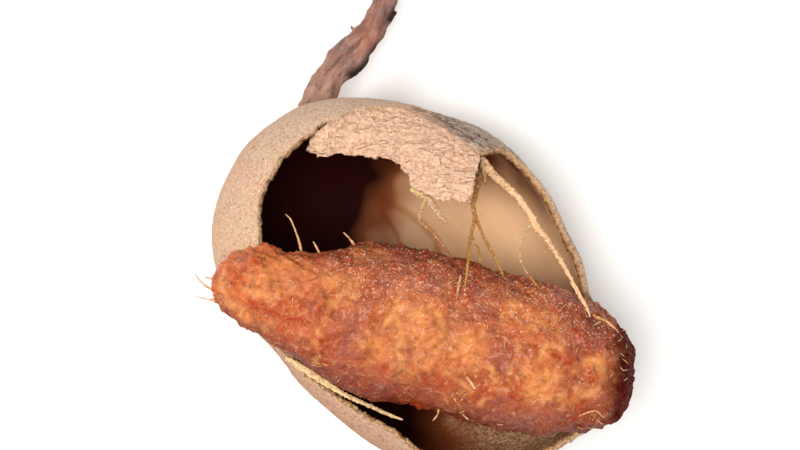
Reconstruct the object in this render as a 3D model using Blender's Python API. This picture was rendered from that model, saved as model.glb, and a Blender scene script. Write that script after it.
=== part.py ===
"""Tamarind pod: a brittle egg-shaped husk, broken open over its sticky fibrous pulp.

The pod lies on its back with the opening upwards. All shape values are in
millimetres in the pod's own frame: X to the right and Y towards the stalk as
seen from above, Z up from the widest level of the husk.
"""
import math

import bpy
from mathutils import Vector, noise

MM = 0.001

# The husk: an egg, wider and boxier at its lower left, 0.85 mm thick.
HUSK_CENTRE = Vector((3.6, -0.9, 0.0))
FRONT_DEPTH = 11.6
BACK_DEPTH = 11.8
WALL = 0.85
FLAT_CUT = 0.35
SIDE_POWER = 0.85
DEPTH_POWER = 0.9
COLUMNS = 72
ROWS = 11
ROW_CROWDING = 0.92
HUSK_LUMP = 0.22
HUSK_LUMPS_PER_MM = 0.17

# Widest outline: angle about the centre in degrees, radius in mm.
OUTLINE = (
    (1.9, 13.51), (15.0, 13.23), (29.2, 12.89), (46.3, 13.69), (60.3, 14.51),
    (76.8, 15.72), (90.0, 16.65), (101.5, 18.09), (116.3, 20.29), (125.6, 21.35),
    (139.9, 22.36), (150.8, 22.16), (161.7, 21.52), (170.4, 20.54), (178.6, 19.09),
    (187.5, 17.25), (196.9, 15.52), (209.1, 14.42), (229.0, 13.72), (249.7, 14.29),
    (278.2, 15.9), (293.0, 16.4), (307.7, 17.05), (319.5, 17.7), (330.3, 17.1),
    (346.0, 15.2),
)

# Broken edge of the opening: angle, and how far up the dome it stands in degrees.
BROKEN_EDGE = (
    (4.0, 15.5), (16.0, 19.0), (30.5, 18.0), (48.0, 16.0), (59.0, 12.0), (66.0, 15.6),
    (72.0, 25.5), (75.0, 31.0), (111.0, 20.6), (119.0, 24.3), (130.0, 31.7),
    (137.0, 35.6), (150.0, 37.7), (160.0, 39.0), (165.0, 27.0), (169.0, 21.5),
    (179.0, 18.5), (190.0, 18.5), (209.0, 20.5), (229.0, 19.5), (250.0, 15.0),
    (265.0, 10.0), (285.0, 8.0), (300.0, 5.0), (315.0, -1.0), (330.0, -5.0), (347.0, -5.0),
    (357.0, 1.0),
)

# Flap of husk pressed inwards, hinged between these columns at the stalk end.
HINGE_FIRST = 15
HINGE_LAST = 22
FLAP_EDGE = (
    (6.14, 7.78, 7.8), (3.51, 8.13, 7.7), (1.05, 8.92, 7.5), (0.53, 9.8, 7.3),
    (-0.18, 11.04, 7.0), (-2.2, 11.57, 6.5), (-4.85, 12.29, 5.8), (-8.14, 12.04, 4.9),
)
FLAP_ROWS = 5
FLAP_BULGE = 0.8

# Pulp: X, Y of its middle, half width across, Z of its middle, half depth.
PULP_SECTIONS = (
    (-16.35, 0.62, 1.35, 7.55, 1.1), (-15.85, 0.55, 2.1, 7.5, 1.9), (-15.1, 0.5, 2.8, 7.5, 2.5),
    (-13.96, 0.2, 3.25, 7.45, 2.85), (-12.03, -0.1, 4.1, 7.3, 3.4), (-9.41, -1.25, 4.62, 7.0, 3.8),
    (-6.62, -2.1, 5.45, 6.4, 4.7), (-3.54, -2.6, 6.75, 5.4, 5.8), (1.77, -3.2, 6.9, 4.8, 6.4),
    (5.68, -4.4, 7.05, 4.5, 6.5), (9.94, -5.55, 6.85, 4.4, 6.3), (12.7, -6.05, 6.75, 4.5, 5.9),
    (15.1, -6.25, 6.2, 4.7, 5.2), (16.9, -6.6, 5.65, 4.6, 4.7), (18.65, -6.9, 4.7, 4.5, 3.9),
    (19.9, -7.15, 3.35, 4.3, 2.8), (20.45, -7.1, 2.0, 4.2, 1.7),
)
PULP_ENDS = ((-16.58, 0.75, 7.6), (20.72, -6.95, 4.2))
PULP_SIDES = 30
PULP_LUMP = 0.28
PULP_LUMPS_PER_MM = 0.42

# Stalk: centre line from inside the husk to the snapped end, with the radius there.
STALK_LINE = (
    (-7.43, 14.91, -2.0, 1.7), (-7.21, 16.53, -4.2, 1.6), (-6.58, 18.47, -4.8, 1.3),
    (-5.4, 20.03, -5.0, 1.42), (-4.3, 21.23, -5.2, 1.45), (-3.39, 22.25, -5.4, 1.22),
    (-2.57, 23.45, -5.6, 1.15), (-1.74, 25.02, -5.8, 1.08), (-1.38, 26.51, -6.0, 1.0),
    (-1.1, 27.99, -6.2, 0.98), (-0.55, 29.67, -6.5, 1.0), (0.09, 31.16, -6.8, 1.1),
)
STALK_RINGS = 30
STALK_SIDES = 14
BARK_KNOB = 0.3
BARK_KNOBS_PER_MM = 0.9
STALK_GAP = 0.28
ENVELOPE_ROWS = 40

# Vascular strands: points of the centre line with the radius there.
MAIN_STRAND = (
    (7.3, 11.9, 3.3, 0.42), (7.9, 10.9, 3.9, 0.45), (8.87, 9.93, 4.6, 0.42), (10.1, 8.68, 5.0, 0.38),
    (11.14, 7.44, 5.4, 0.36), (11.92, 5.94, 5.8, 0.36), (12.96, 4.53, 6.3, 0.3),
    (13.99, 2.95, 6.9, 0.27), (15.0, 1.11, 7.6, 0.24), (15.85, -0.46, 8.0, 0.22),
    (16.56, -1.77, 8.15, 0.2),
)
MAIN_BRANCH = (
    (12.0, 5.95, 5.8, 0.2), (11.23, 5.32, 5.3, 0.17), (10.8, 4.26, 5.0, 0.15),
    (10.54, 3.19, 5.1, 0.15), (10.7, 2.31, 5.9, 0.15), (10.95, 1.9, 6.6, 0.14),
)
MIDDLE_STRAND = (
    (6.5, 10.3, 5.2, 0.28), (6.95, 9.7, 4.2, 0.27), (7.1, 8.79, 3.4, 0.22), (6.86, 7.54, 3.2, 0.2),
    (6.67, 6.12, 3.6, 0.17), (6.57, 4.9, 4.2, 0.17), (6.42, 3.95, 5.2, 0.16), (6.35, 3.4, 6.4, 0.15),
)
MIDDLE_BRANCH = (
    (6.86, 7.6, 3.2, 0.18), (7.21, 6.29, 3.4, 0.16), (7.73, 4.87, 3.8, 0.15),
    (8.25, 3.63, 4.3, 0.15), (8.5, 2.95, 4.8, 0.14),
)
LEFT_STRAND = (
    (0.7, 9.3, 6.05, 0.3), (1.4, 8.4, 5.8, 0.28), (1.9, 7.5, 5.3, 0.22), (1.9, 6.73, 4.8, 0.17),
    (2.4, 6.21, 4.2, 0.16), (3.11, 5.32, 3.7, 0.15), (3.7, 4.6, 3.6, 0.15), (4.1, 4.05, 3.9, 0.14),
)
STUB_STRAND = (
    (2.6, 8.4, 6.1, 0.28), (3.05, 7.5, 5.2, 0.3), (3.64, 6.6, 4.3, 0.28), (4.18, 6.2, 3.8, 0.2),
)
RIM_STRAND = (
    (-10.1, -6.75, 5.6, 0.18), (-8.89, -7.45, 5.75, 0.2), (-7.35, -8.25, 5.9, 0.2),
    (-5.78, -9.05, 5.75, 0.2), (-4.44, -9.7, 5.4, 0.19), (-3.11, -10.3, 4.9, 0.18),
    (-1.77, -10.85, 4.4, 0.17), (0.0, -11.6, 4.0, 0.15),
)

# Hairs that stand out of the pulp: centre lines, all 0.15 mm thick.
PULP_HAIRS = (
    ((-13.6, -0.4, 7.6), (-15.4, -0.2, 7.6), (-16.32, 0.15, 7.6), (-17.27, 0.68, 7.7), (-18.0, 1.6, 7.9)),
    ((-13.6, -0.9, 7.3), (-15.4, -0.95, 7.5), (-16.49, -0.73, 7.6), (-18.05, -0.4, 7.6)),
    ((-8.3, 1.4, 6.4), (-8.6, 2.94, 6.2), (-8.91, 4.44, 6.0), (-9.54, 6.11, 5.6), (-10.1, 6.8, 5.4)),
)
HAIR_RADIUS = 0.15
HAIR_RINGS = 10
HAIR_SIDES = 6
STRAND_SIDES = 8
TUBE_SIDE_START = Vector((0.31, 0.17, 0.94))


def clear_scene():
    for item in list(bpy.data.objects):
        bpy.data.objects.remove(item, do_unlink=True)


def material(name, colour, roughness):
    surface = bpy.data.materials.new(name)
    surface.use_nodes = True
    shader = surface.node_tree.nodes["Principled BSDF"]
    shader.inputs["Base Color"].default_value = (*colour, 1.0)
    shader.inputs["Roughness"].default_value = roughness
    shader.inputs["Metallic"].default_value = 0.0
    return surface


def to_world(point):
    """Pod millimetres to metres, with the origin in the middle of the rest spot."""
    lift = BACK_DEPTH - FLAT_CUT
    return Vector((
        (point[0] - HUSK_CENTRE.x) * MM,
        (point[1] - HUSK_CENTRE.y) * MM,
        (point[2] + lift) * MM,
    ))


def hermite(before, start, end, after, fraction):
    """Smooth value between two of four (position, value) knots."""
    span = end[0] - start[0]
    slope_in = (end[1] - before[1]) / (end[0] - before[0]) * span
    slope_out = (after[1] - start[1]) / (after[0] - start[0]) * span
    square = fraction * fraction
    cube = square * fraction
    return (
        (2.0 * cube - 3.0 * square + 1.0) * start[1]
        + (cube - 2.0 * square + fraction) * slope_in
        + (3.0 * square - 2.0 * cube) * end[1]
        + (cube - square) * slope_out
    )


def around(table, angle):
    """Value at an angle in degrees of a table that closes on itself."""
    angle = angle % 360.0
    knots = [(a - 360.0, v) for a, v in table[-3:]]
    knots += list(table)
    knots += [(a + 360.0, v) for a, v in table[:3]]
    for i in range(1, len(knots) - 2):
        if knots[i][0] <= angle < knots[i + 1][0]:
            fraction = (angle - knots[i][0]) / (knots[i + 1][0] - knots[i][0])
            return hermite(knots[i - 1], knots[i], knots[i + 1], knots[i + 2], fraction)
    raise ValueError("angle outside the table")


def dome_point(angle, latitude, grow=0.0):
    """Point of the husk's outside at an angle and a latitude, both in degrees."""
    turn = math.radians(angle)
    tilt = math.radians(latitude)
    reach = (around(OUTLINE, angle) + grow) * max(math.cos(tilt), 0.0) ** SIDE_POWER
    depth = FRONT_DEPTH if latitude > 0.0 else BACK_DEPTH
    height = math.copysign((depth + grow) * abs(math.sin(tilt)) ** DEPTH_POWER, latitude)
    point = HUSK_CENTRE + Vector((reach * math.cos(turn), reach * math.sin(turn), height))
    outward = Vector((math.cos(tilt) * math.cos(turn), math.cos(tilt) * math.sin(turn), math.sin(tilt)))
    point += outward * HUSK_LUMP * noise.noise(point * HUSK_LUMPS_PER_MM)
    point.z = max(point.z, FLAT_CUT - BACK_DEPTH - grow)
    return point


def mesh_object(name, points, faces, surface):
    mesh = bpy.data.meshes.new(name)
    mesh.from_pydata([to_world(point) for point in points], [], faces)
    mesh.validate()
    mesh.materials.append(surface)
    body = bpy.data.objects.new(name, mesh)
    bpy.context.scene.collection.objects.link(body)
    for polygon in mesh.polygons:
        polygon.use_smooth = True
    return body


def husk_grid():
    """Points and faces of the husk's outside, from the broken edge to the back."""
    points = []
    for row in range(ROWS):
        for column in range(COLUMNS):
            angle = column * 360.0 / COLUMNS
            edge = around(BROKEN_EDGE, angle)
            share = (row / ROWS) ** ROW_CROWDING
            points.append(dome_point(angle, edge + (-90.0 - edge) * share))
    points.append(Vector((HUSK_CENTRE.x, HUSK_CENTRE.y, FLAT_CUT - BACK_DEPTH)))
    faces = []
    for row in range(ROWS - 1):
        for column in range(COLUMNS):
            after = (column + 1) % COLUMNS
            upper = row * COLUMNS
            lower = upper + COLUMNS
            faces.append((upper + column, lower + column, lower + after, upper + after))
    last = (ROWS - 1) * COLUMNS
    for column in range(COLUMNS):
        faces.append((last + column, ROWS * COLUMNS, last + (column + 1) % COLUMNS))
    return points, faces


def add_flap(points, faces):
    """Continue the hinge columns into the flap that is pressed into the opening."""
    above = list(range(HINGE_FIRST, HINGE_LAST + 1))
    hinge = [points[i].copy() for i in above]
    for row in range(1, FLAP_ROWS + 1):
        share = row / FLAP_ROWS
        current = []
        for start, edge in zip(hinge, FLAP_EDGE):
            point = start.lerp(Vector(edge), share)
            point.z += FLAP_BULGE * math.sin(math.pi * share)
            current.append(len(points))
            points.append(point)
        for i in range(len(above) - 1):
            faces.append((current[i], above[i], above[i + 1], current[i + 1]))
        above = current


def build_shell(surface):
    points, faces = husk_grid()
    add_flap(points, faces)
    shell = mesh_object("shell", points, faces, surface)
    wall = shell.modifiers.new("Wall", "SOLIDIFY")
    wall.thickness = WALL * MM
    wall.offset = -1.0
    wall.use_even_offset = True
    return shell


def husk_envelope():
    """Closed egg a little larger than the husk, which trims what leans on it."""
    rows = ENVELOPE_ROWS
    points = []
    for row in range(1, rows):
        latitude = 90.0 - 180.0 * row / rows
        for column in range(COLUMNS):
            points.append(dome_point(column * 360.0 / COLUMNS, latitude, STALK_GAP))
    top = len(points)
    points.append(HUSK_CENTRE + Vector((0.0, 0.0, FRONT_DEPTH)))
    points.append(HUSK_CENTRE + Vector((0.0, 0.0, -BACK_DEPTH)))
    faces = []
    for row in range(rows - 2):
        for column in range(COLUMNS):
            after = (column + 1) % COLUMNS
            upper = row * COLUMNS
            lower = upper + COLUMNS
            faces.append((upper + column, lower + column, lower + after, upper + after))
    last = (rows - 2) * COLUMNS
    for column in range(COLUMNS):
        after = (column + 1) % COLUMNS
        faces.append((top, column, after))
        faces.append((last + column, top + 1, last + after))
    return points, faces


def spline(line, fraction):
    """Smooth point and radius along a centre line, fraction from 0 to 1."""
    place = fraction * (len(line) - 1)
    i = min(int(place), len(line) - 2)
    local = place - i
    knots = [line[max(i - 1, 0)], line[i], line[i + 1], line[min(i + 2, len(line) - 1)]]
    values = []
    for axis in range(len(line[0])):
        a, b, c, d = (knot[axis] for knot in knots)
        values.append(
            0.5 * (2.0 * b + (c - a) * local + (2.0 * a - 5.0 * b + 4.0 * c - d) * local ** 2
                   + (3.0 * b - a - 3.0 * c + d) * local ** 3)
        )
    return values


def tube(line, rings, sides, roughness=0.0):
    """Points and faces of a closed round tube whose radius follows its line."""
    samples = [spline(line, i / (rings - 1)) for i in range(rings)]
    centres = [Vector(sample[:3]) for sample in samples]
    across = TUBE_SIDE_START.normalized()
    points = []
    for i, centre in enumerate(centres):
        heading = (centres[min(i + 1, rings - 1)] - centres[max(i - 1, 0)]).normalized()
        across = (across - heading * across.dot(heading)).normalized()
        upward = heading.cross(across)
        for side in range(sides):
            turn = 2.0 * math.pi * side / sides
            spoke = across * math.cos(turn) + upward * math.sin(turn)
            place = centre + spoke * samples[i][3]
            points.append(place + spoke * roughness * noise.noise(place * BARK_KNOBS_PER_MM))
    faces = []
    for i in range(rings - 1):
        for side in range(sides):
            after = (side + 1) % sides
            faces.append((i * sides + side, i * sides + after,
                          (i + 1) * sides + after, (i + 1) * sides + side))
    faces.append(tuple(range(sides - 1, -1, -1)))
    faces.append(tuple((rings - 1) * sides + side for side in range(sides)))
    return points, faces


def hidden_cutter(name, points, faces, surface):
    cutter = mesh_object(name, points, faces, surface)
    cutter.hide_render = True
    cutter.display_type = "WIRE"
    return cutter


def combine(body, cutter, operation):
    joint = body.modifiers.new(cutter.name, "BOOLEAN")
    joint.operation = operation
    joint.solver = "EXACT"
    joint.object = cutter


def build_stalk(surface):
    points, faces = tube(STALK_LINE, STALK_RINGS, STALK_SIDES, BARK_KNOB)
    stalk = mesh_object("stalk", points, faces, surface)
    points, faces = husk_envelope()
    combine(stalk, hidden_cutter("husk_room", points, faces, surface), "DIFFERENCE")
    return stalk


def build_pulp(surface):
    points = []
    for x, y, half_width, z, half_depth in PULP_SECTIONS:
        for side in range(PULP_SIDES):
            turn = 2.0 * math.pi * side / PULP_SIDES
            spoke = Vector((0.0, half_width * math.cos(turn), half_depth * math.sin(turn)))
            place = Vector((x, y, z)) + spoke
            lump = 1.0 + PULP_LUMP * noise.noise(place * PULP_LUMPS_PER_MM) / max(half_width, 2.0)
            points.append(Vector((x, y, z)) + spoke * lump)
    rings = len(PULP_SECTIONS)
    first = len(points)
    points += [Vector(end) for end in PULP_ENDS]
    faces = []
    for i in range(rings - 1):
        for side in range(PULP_SIDES):
            after = (side + 1) % PULP_SIDES
            faces.append((i * PULP_SIDES + side, i * PULP_SIDES + after,
                          (i + 1) * PULP_SIDES + after, (i + 1) * PULP_SIDES + side))
    for side in range(PULP_SIDES):
        after = (side + 1) % PULP_SIDES
        faces.append((first, after, side))
        last = (rings - 1) * PULP_SIDES
        faces.append((first + 1, last + side, last + after))
    pulp = mesh_object("pulp", points, faces, surface)
    for index, line in enumerate(PULP_HAIRS):
        hair = [(*point, HAIR_RADIUS) for point in line]
        points, faces = tube(hair, HAIR_RINGS, HAIR_SIDES)
        combine(pulp, hidden_cutter(f"hair_{index + 1}", points, faces, surface), "UNION")
    return pulp


def build_strand(name, line, surface, branch=None):
    points, faces = tube(line, 3 * len(line) - 5, STRAND_SIDES)
    strand = mesh_object(name, points, faces, surface)
    if branch:
        points, faces = tube(branch, 2 * len(branch), HAIR_SIDES)
        combine(strand, hidden_cutter(name + "_branch", points, faces, surface), "UNION")
    return strand


def main():
    clear_scene()
    husk = material("husk", (0.46, 0.30, 0.19), 0.85)
    bark = material("bark", (0.16, 0.085, 0.06), 0.9)
    flesh = material("flesh", (0.36, 0.09, 0.025), 0.35)
    fibre = material("fibre", (0.72, 0.47, 0.24), 0.6)
    build_shell(husk)
    build_stalk(bark)
    build_pulp(flesh)
    build_strand("strand_main", MAIN_STRAND, fibre, MAIN_BRANCH)
    build_strand("strand_middle", MIDDLE_STRAND, fibre, MIDDLE_BRANCH)
    build_strand("strand_left", LEFT_STRAND, fibre)
    build_strand("strand_stub", STUB_STRAND, fibre)
    build_strand("strand_rim", RIM_STRAND, fibre)


main()
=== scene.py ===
"""Tamarind pod with its husk broken open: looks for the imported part.

Shape values are in millimetres in the pod's own frame, as in the part's source:
X to the right and Y towards the stalk as seen from above, Z up from the widest
level of the husk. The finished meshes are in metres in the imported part's frame.
"""

import math
import random

import bmesh
import bpy
from bpy.props import FloatProperty, FloatVectorProperty, IntProperty, PointerProperty
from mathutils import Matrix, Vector, kdtree, noise


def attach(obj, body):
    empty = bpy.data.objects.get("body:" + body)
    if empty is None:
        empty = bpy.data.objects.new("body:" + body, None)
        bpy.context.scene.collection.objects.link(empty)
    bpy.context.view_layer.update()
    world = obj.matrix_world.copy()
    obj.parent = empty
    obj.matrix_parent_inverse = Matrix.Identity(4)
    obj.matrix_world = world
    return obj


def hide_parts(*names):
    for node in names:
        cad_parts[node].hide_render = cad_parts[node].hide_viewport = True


bl_info = {
    "name": "Tamarind Pod",
    "version": (1, 0, 0),
    "blender": (4, 5, 0),
    "location": "View3D > Sidebar > Pod",
    "description": "Builds a broken tamarind pod with its pulp, stalk and strands",
    "category": "Object",
}

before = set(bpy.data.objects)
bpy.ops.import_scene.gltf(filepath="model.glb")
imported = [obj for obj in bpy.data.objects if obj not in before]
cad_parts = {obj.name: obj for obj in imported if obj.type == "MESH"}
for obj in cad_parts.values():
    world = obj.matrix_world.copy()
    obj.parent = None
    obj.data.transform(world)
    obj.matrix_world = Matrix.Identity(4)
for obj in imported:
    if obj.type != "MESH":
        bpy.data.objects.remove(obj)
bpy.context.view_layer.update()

MM = 0.001

# Seed of the vector noise, which starts from the clock unless it has one.
NOISE_SEED = 3

# The husk: an egg, wider and boxier at its lower left.
HUSK_CENTRE = Vector((3.6, -0.9, 0.0))
FRONT_DEPTH = 11.6
BACK_DEPTH = 11.8
FLAT_CUT = 0.35
SIDE_POWER = 0.85
DEPTH_POWER = 0.9
HUSK_LUMP = 0.22
HUSK_LUMPS_PER_MM = 0.17
ROW_CROWDING = 0.92

# From the pod's own frame to the part's, whose floor is the flat on the back.
PART_OFFSET = Vector((-HUSK_CENTRE.x, -HUSK_CENTRE.y, BACK_DEPTH - FLAT_CUT))

# Widest outline: angle about the centre in degrees, radius in mm.
OUTLINE = (
    (1.9, 13.51), (15.0, 13.23), (29.2, 12.89), (46.3, 13.69), (60.3, 14.51),
    (76.8, 15.72), (90.0, 16.65), (101.5, 18.09), (116.3, 20.29), (125.6, 21.35),
    (139.9, 22.36), (150.8, 22.16), (161.7, 21.52), (170.4, 20.54), (178.6, 19.09),
    (187.5, 17.25), (196.9, 15.52), (209.1, 14.72), (223.0, 14.1), (234.0, 13.95), (249.7, 14.35),
    (278.2, 15.9), (293.0, 16.4), (307.7, 17.05), (319.5, 17.7), (330.3, 17.1),
    (346.0, 15.2),
)

# Broken edge of the opening: angle, and how far up the dome it stands in degrees.
BROKEN_EDGE = (
    (4.0, 10.0), (16.0, 10.5), (30.5, 10.0), (48.0, 9.5), (59.0, 9.0), (66.0, 13.0), (72.0, 25.0),
    (75.0, 31.0), (100.0, 19.5), (106.0, 18.5), (112.0, 22.0), (118.0, 27.6), (124.5, 29.4),
    (128.2, 31.4), (132.5, 32.9), (136.9, 34.5), (145.4, 35.3), (150.0, 36.5), (154.6, 38.8),
    (161.4, 42.0), (166.0, 40.5), (171.0, 33.0), (175.0, 23.5), (180.0, 18.5), (190.0, 18.5),
    (200.0, 20.0), (209.0, 23.0), (219.0, 26.0), (228.0, 28.5), (235.0, 30.4), (243.0, 31.6),
    (252.0, 31.6), (265.0, 24.0), (275.0, 14.0), (285.0, 8.0), (300.0, 5.0), (315.0, -1.0),
    (330.0, -5.0), (347.0, -5.0), (357.0, 1.0),
)
EDGE_RAGGED = 1.2

# Flap of husk pressed inwards, hinged between two angles at the stalk end.
HINGE_FROM = 75.0
HINGE_TO = 118.0
FLAP_EDGE = (
    (6.1, 7.79, 7.8), (3.39, 8.18, 7.7), (2.64, 8.43, 7.6), (1.47, 8.95, 7.5), (0.95, 9.47, 7.35),
    (0.69, 10.25, 7.2), (0.04, 11.02, 7.0), (-0.61, 11.53, 6.8), (-1.76, 11.72, 6.6),
    (-3.65, 11.98, 6.1), (-5.25, 12.17, 5.7), (-6.49, 11.98, 5.4), (-7.35, 11.8, 5.2),
    (-8.09, 12.3, 5.0), (-8.33, 12.5, 5.0),
)
FLAP_BULGE = 0.8
FLAP_RAGGED = 0.28

# Share of the wall that is missing at a torn edge, and over how many mm it comes back.
EDGE_THINNING = 0.25
EDGE_THINNING_WIDTH = 2.5
FLAP_THINNING = 0.42
FLAP_THINNING_WIDTH = 1.2

# Cuts through the thickness of the wall where it is broken.
WALL_CUTS = 3

# Cork that shows where the skin tore along the flap's hinge, in plan.
HINGE_SEAM = ((-6.6, 15.05), (-5.7, 15.4), (-4.5, 15.7), (-3.0, 15.98), (-1.7, 16.2), (-0.9, 16.25))

# Cracked fold on the stalk side of the flap, in plan.
HINGE_CRACK = ((1.5, 16.3), (3.5, 15.5), (5.9, 13.7), (7.4, 12.6), (9.5, 11.9))

# Pits in the weathered skin, painted near-black as the shade inside small holes: X, Y and radius.
SKIN_PITS = ((7.0, 13.75, 0.24), (7.65, 13.4, 0.16), (4.7, 15.3, 0.16), (5.8, 14.5, 0.14))

# Veins in the inner wall: X and Y along each one, and its half width.
WALL_VEINS = (
    (((-5.5, 12.2), (-3.4, 10.2), (-1.5, 8.2), (0.4, 7.2), (2.0, 6.0), (3.3, 4.6), (3.9, 2.0)), 0.38),
    (((-3.8, 11.0), (-2.0, 7.6), (-0.4, 5.2), (0.8, 2.4)), 0.22),
)
VEIN_HEIGHT = 0.16

# Half widths of the seam and the crack. A crack stays below the share at which a pit's painted hole shade
# shows.
SEAM_WIDTH = 0.17
CRACK_WIDTH = 0.6
CRACK_SHARE = 0.69

# Roughness of the broken edge, and how far above the flat on the back the skin's relief starts.
EDGE_GRIT = 0.08
FLAT_MARGIN = 0.3

# Pulp: X, Y of its middle, half width across, Z of its middle, half depth.
PULP_SECTIONS = (
    (-16.5, 0.6, 0.0, 7.6, 0.0),
    (-16.25, 0.55, 1.2, 7.55, 1.1), (-15.85, 0.53, 1.75, 7.5, 1.8), (-15.1, 0.5, 2.5, 7.5, 2.4),
    (-13.96, 0.35, 3.1, 7.45, 2.85), (-12.03, 0.05, 4.1, 7.3, 3.4), (-9.41, -1.2, 4.6, 7.0, 3.8),
    (-6.62, -2.1, 5.45, 6.4, 4.7), (-3.54, -2.6, 6.75, 5.4, 5.7), (1.77, -3.2, 6.9, 4.8, 6.28),
    (5.68, -4.4, 7.05, 4.5, 6.4), (9.94, -5.55, 6.85, 4.4, 6.3), (12.7, -6.05, 6.75, 4.5, 5.9),
    (15.1, -6.25, 6.2, 4.7, 5.2), (16.9, -6.6, 5.65, 4.6, 4.7), (18.65, -6.9, 4.7, 4.5, 3.9),
    (19.9, -7.15, 3.35, 4.3, 2.8), (20.45, -7.1, 2.0, 4.2, 1.7),
    (20.72, -6.95, 0.0, 4.2, 0.0),
)
PULP_LUMP = 0.28
PULP_LUMPS_PER_MM = 0.42

# Furrows of the pulp in plan: start, end, half width and depth. The first parts the left lobe from the rest.
PULP_CREASES = (
    ((-6.9, 1.5), (-7.4, -6.0), 0.55, 0.55),
    ((-7.0, -2.2), (-11.6, 0.3), 0.5, 0.3),
    ((-7.2, -4.0), (-10.5, -3.2), 0.45, 0.25),
    ((1.2, -9.0), (3.5, -3.5), 0.6, 0.2),
)

# Fibres under the pulp's skin that stand up as soft ridges, in plan.
PULP_RIDGES = (
    ((-7.1, -4.6), (-6.8, -2.4), (-6.1, -1.1), (-4.8, 0.2), (-4.2, -0.5)),
    ((7.7, -6.3), (8.1, -7.6), (7.7, -8.9), (7.0, -9.8)),
    ((15.0, -6.9), (16.1, -6.0), (17.3, -6.2), (18.0, -7.2), (17.3, -8.4), (16.2, -8.9), (15.2, -8.4)),
    ((10.5, -4.8), (10.0, -5.9), (9.5, -7.0)),
    ((4.1, -6.9), (5.4, -8.0), (6.1, -8.6)),
    ((-12.0, -3.3), (-10.0, -2.0), (-8.3, -1.6)),
    ((-13.05, 0.2), (-10.9, -0.4), (-8.7, -0.1)),
    ((-15.3, 2.1), (-15.5, 0.3), (-14.8, -1.2), (-13.2, -2.2)),
    ((-7.4, -5.9), (-6.5, -5.2), (-6.8, -4.2)),
    ((-1.7, -3.3), (-0.6, -1.7), (0.1, -3.0), (-0.2, -5.4), (0.9, -7.2)),
    ((2.6, -0.7), (3.9, -3.3), (3.2, -5.0)),
    ((12.0, -6.0), (12.6, -4.7), (13.8, -4.9), (13.7, -6.3)),
    ((11.3, -8.6), (12.6, -9.3), (14.2, -9.0)),
)
RIDGE_WIDTH = 0.26
RIDGE_HEIGHT = 0.17

# Dark, wet clefts and pits in the pulp: points of each in plan, and its half width.
PULP_CLEFTS = (
    (((7.0, 2.6), (6.7, 1.2), (6.3, 0.1)), 0.34), (((5.8, -0.1), (5.7, -1.1)), 0.22),
    (((2.2, 3.4), (2.3, 1.4)), 0.28), (((13.4, -5.4), (14.6, -6.1)), 0.35),
    (((16.5, -7.0), (16.7, -7.7)), 0.35), (((-6.9, -3.9), (-6.4, -6.2)), 0.34),
    (((15.2, -3.4), (15.9, -3.8)), 0.4), (((-0.4, 3.3), (-0.3, 2.2)), 0.24),
    (((9.6, -8.9), (10.3, -9.2)), 0.36), (((-12.9, -0.9), (-9.9, -2.4), (-8.1, -2.6)), 0.3),
    (((0.2, -9.4), (2.1, -9.9)), 0.36), (((-4.6, 3.3), (-4.4, 2.6)), 0.24),
)
CLEFT_DEPTH = 0.2

# Patches of the pulp in plan, X, Y and radius: clear amber flesh, dull dried skin, and wet red flesh.
AMBER_PATCHES = (
    (-11.0, 1.1, 1.6), (-6.15, 1.1, 0.9), (-4.5, -0.2, 0.9), (-7.2, -4.4, 0.6), (0.95, -2.8, 2.0),
    (2.25, -4.5, 2.2), (5.0, -4.5, 1.8), (6.0, -5.6, 1.5), (17.5, -6.5, 1.1), (12.4, -7.8, 1.7),
    (10.4, -3.0, 1.5), (16.3, -8.5, 1.2), (3.9, -9.4, 1.3), (-2.0, -4.8, 1.4), (13.4, -4.6, 1.0),
)
DULL_PATCHES = (
    (-7.67, -1.95, 0.8), (-8.4, -3.5, 1.0), (-3.86, -2.2, 1.6), (-5.1, -5.0, 1.3), (-4.6, -6.6, 1.1),
    (-1.7, -8.0, 1.8), (-14.0, 2.9, 0.9), (-5.9, 2.5, 1.5), (-0.2, 2.4, 2.2), (8.8, -5.2, 1.4),
    (6.85, -0.4, 1.9), (13.8, -0.5, 1.4), (15.4, -3.3, 1.8), (8.8, -10.4, 1.4), (11.9, -11.3, 1.6),
    (-12.0, -3.5, 1.1), (2.8, 0.9, 1.6),
)
WET_PATCHES = (
    (-14.3, 1.5, 0.5), (-10.2, -1.2, 0.9), (-8.7, -1.4, 0.6), (-10.0, -2.5, 0.9), (-6.8, -1.7, 0.6),
    (-6.4, -4.7, 0.8), (2.1, 1.25, 0.45), (6.2, 1.2, 0.6), (3.9, -7.9, 0.9), (2.4, -7.9, 0.6),
    (14.5, -5.9, 0.6), (10.0, -3.4, 0.9), (-12.5, 2.6, 0.6), (-1.2, -6.6, 0.8), (7.4, -8.6, 0.7),
    (15.8, -10.0, 0.7),
)

# Stalk: centre line from inside the husk to the snapped end, with the radius there.
STALK_LINE = (
    (-8.1, 15.4, -3.2, 1.45), (-7.55, 16.9, -4.2, 1.55), (-6.87, 18.44, -4.8, 1.48),
    (-5.95, 19.9, -5.0, 1.38), (-4.7, 21.15, -5.2, 1.72), (-3.68, 22.4, -5.4, 1.4),
    (-2.62, 23.65, -5.6, 1.22), (-1.84, 25.15, -5.8, 1.16), (-1.42, 26.45, -6.0, 1.12),
    (-1.1, 27.99, -6.2, 1.02), (-0.55, 29.67, -6.5, 1.0), (0.09, 31.16, -6.8, 1.1),
)

# Snags left on the stalk by lost side stalks.
STALK_SPURS = (
    ((-3.6, 23.3, -5.4, 0.5), (-4.2, 23.7, -5.3, 0.22), (-4.5, 24.05, -5.3, 0.1)),
    ((-1.0, 25.2, -5.8, 0.5), (-0.55, 25.3, -5.7, 0.3), (-0.4, 25.45, -5.7, 0.14)),
)
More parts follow.
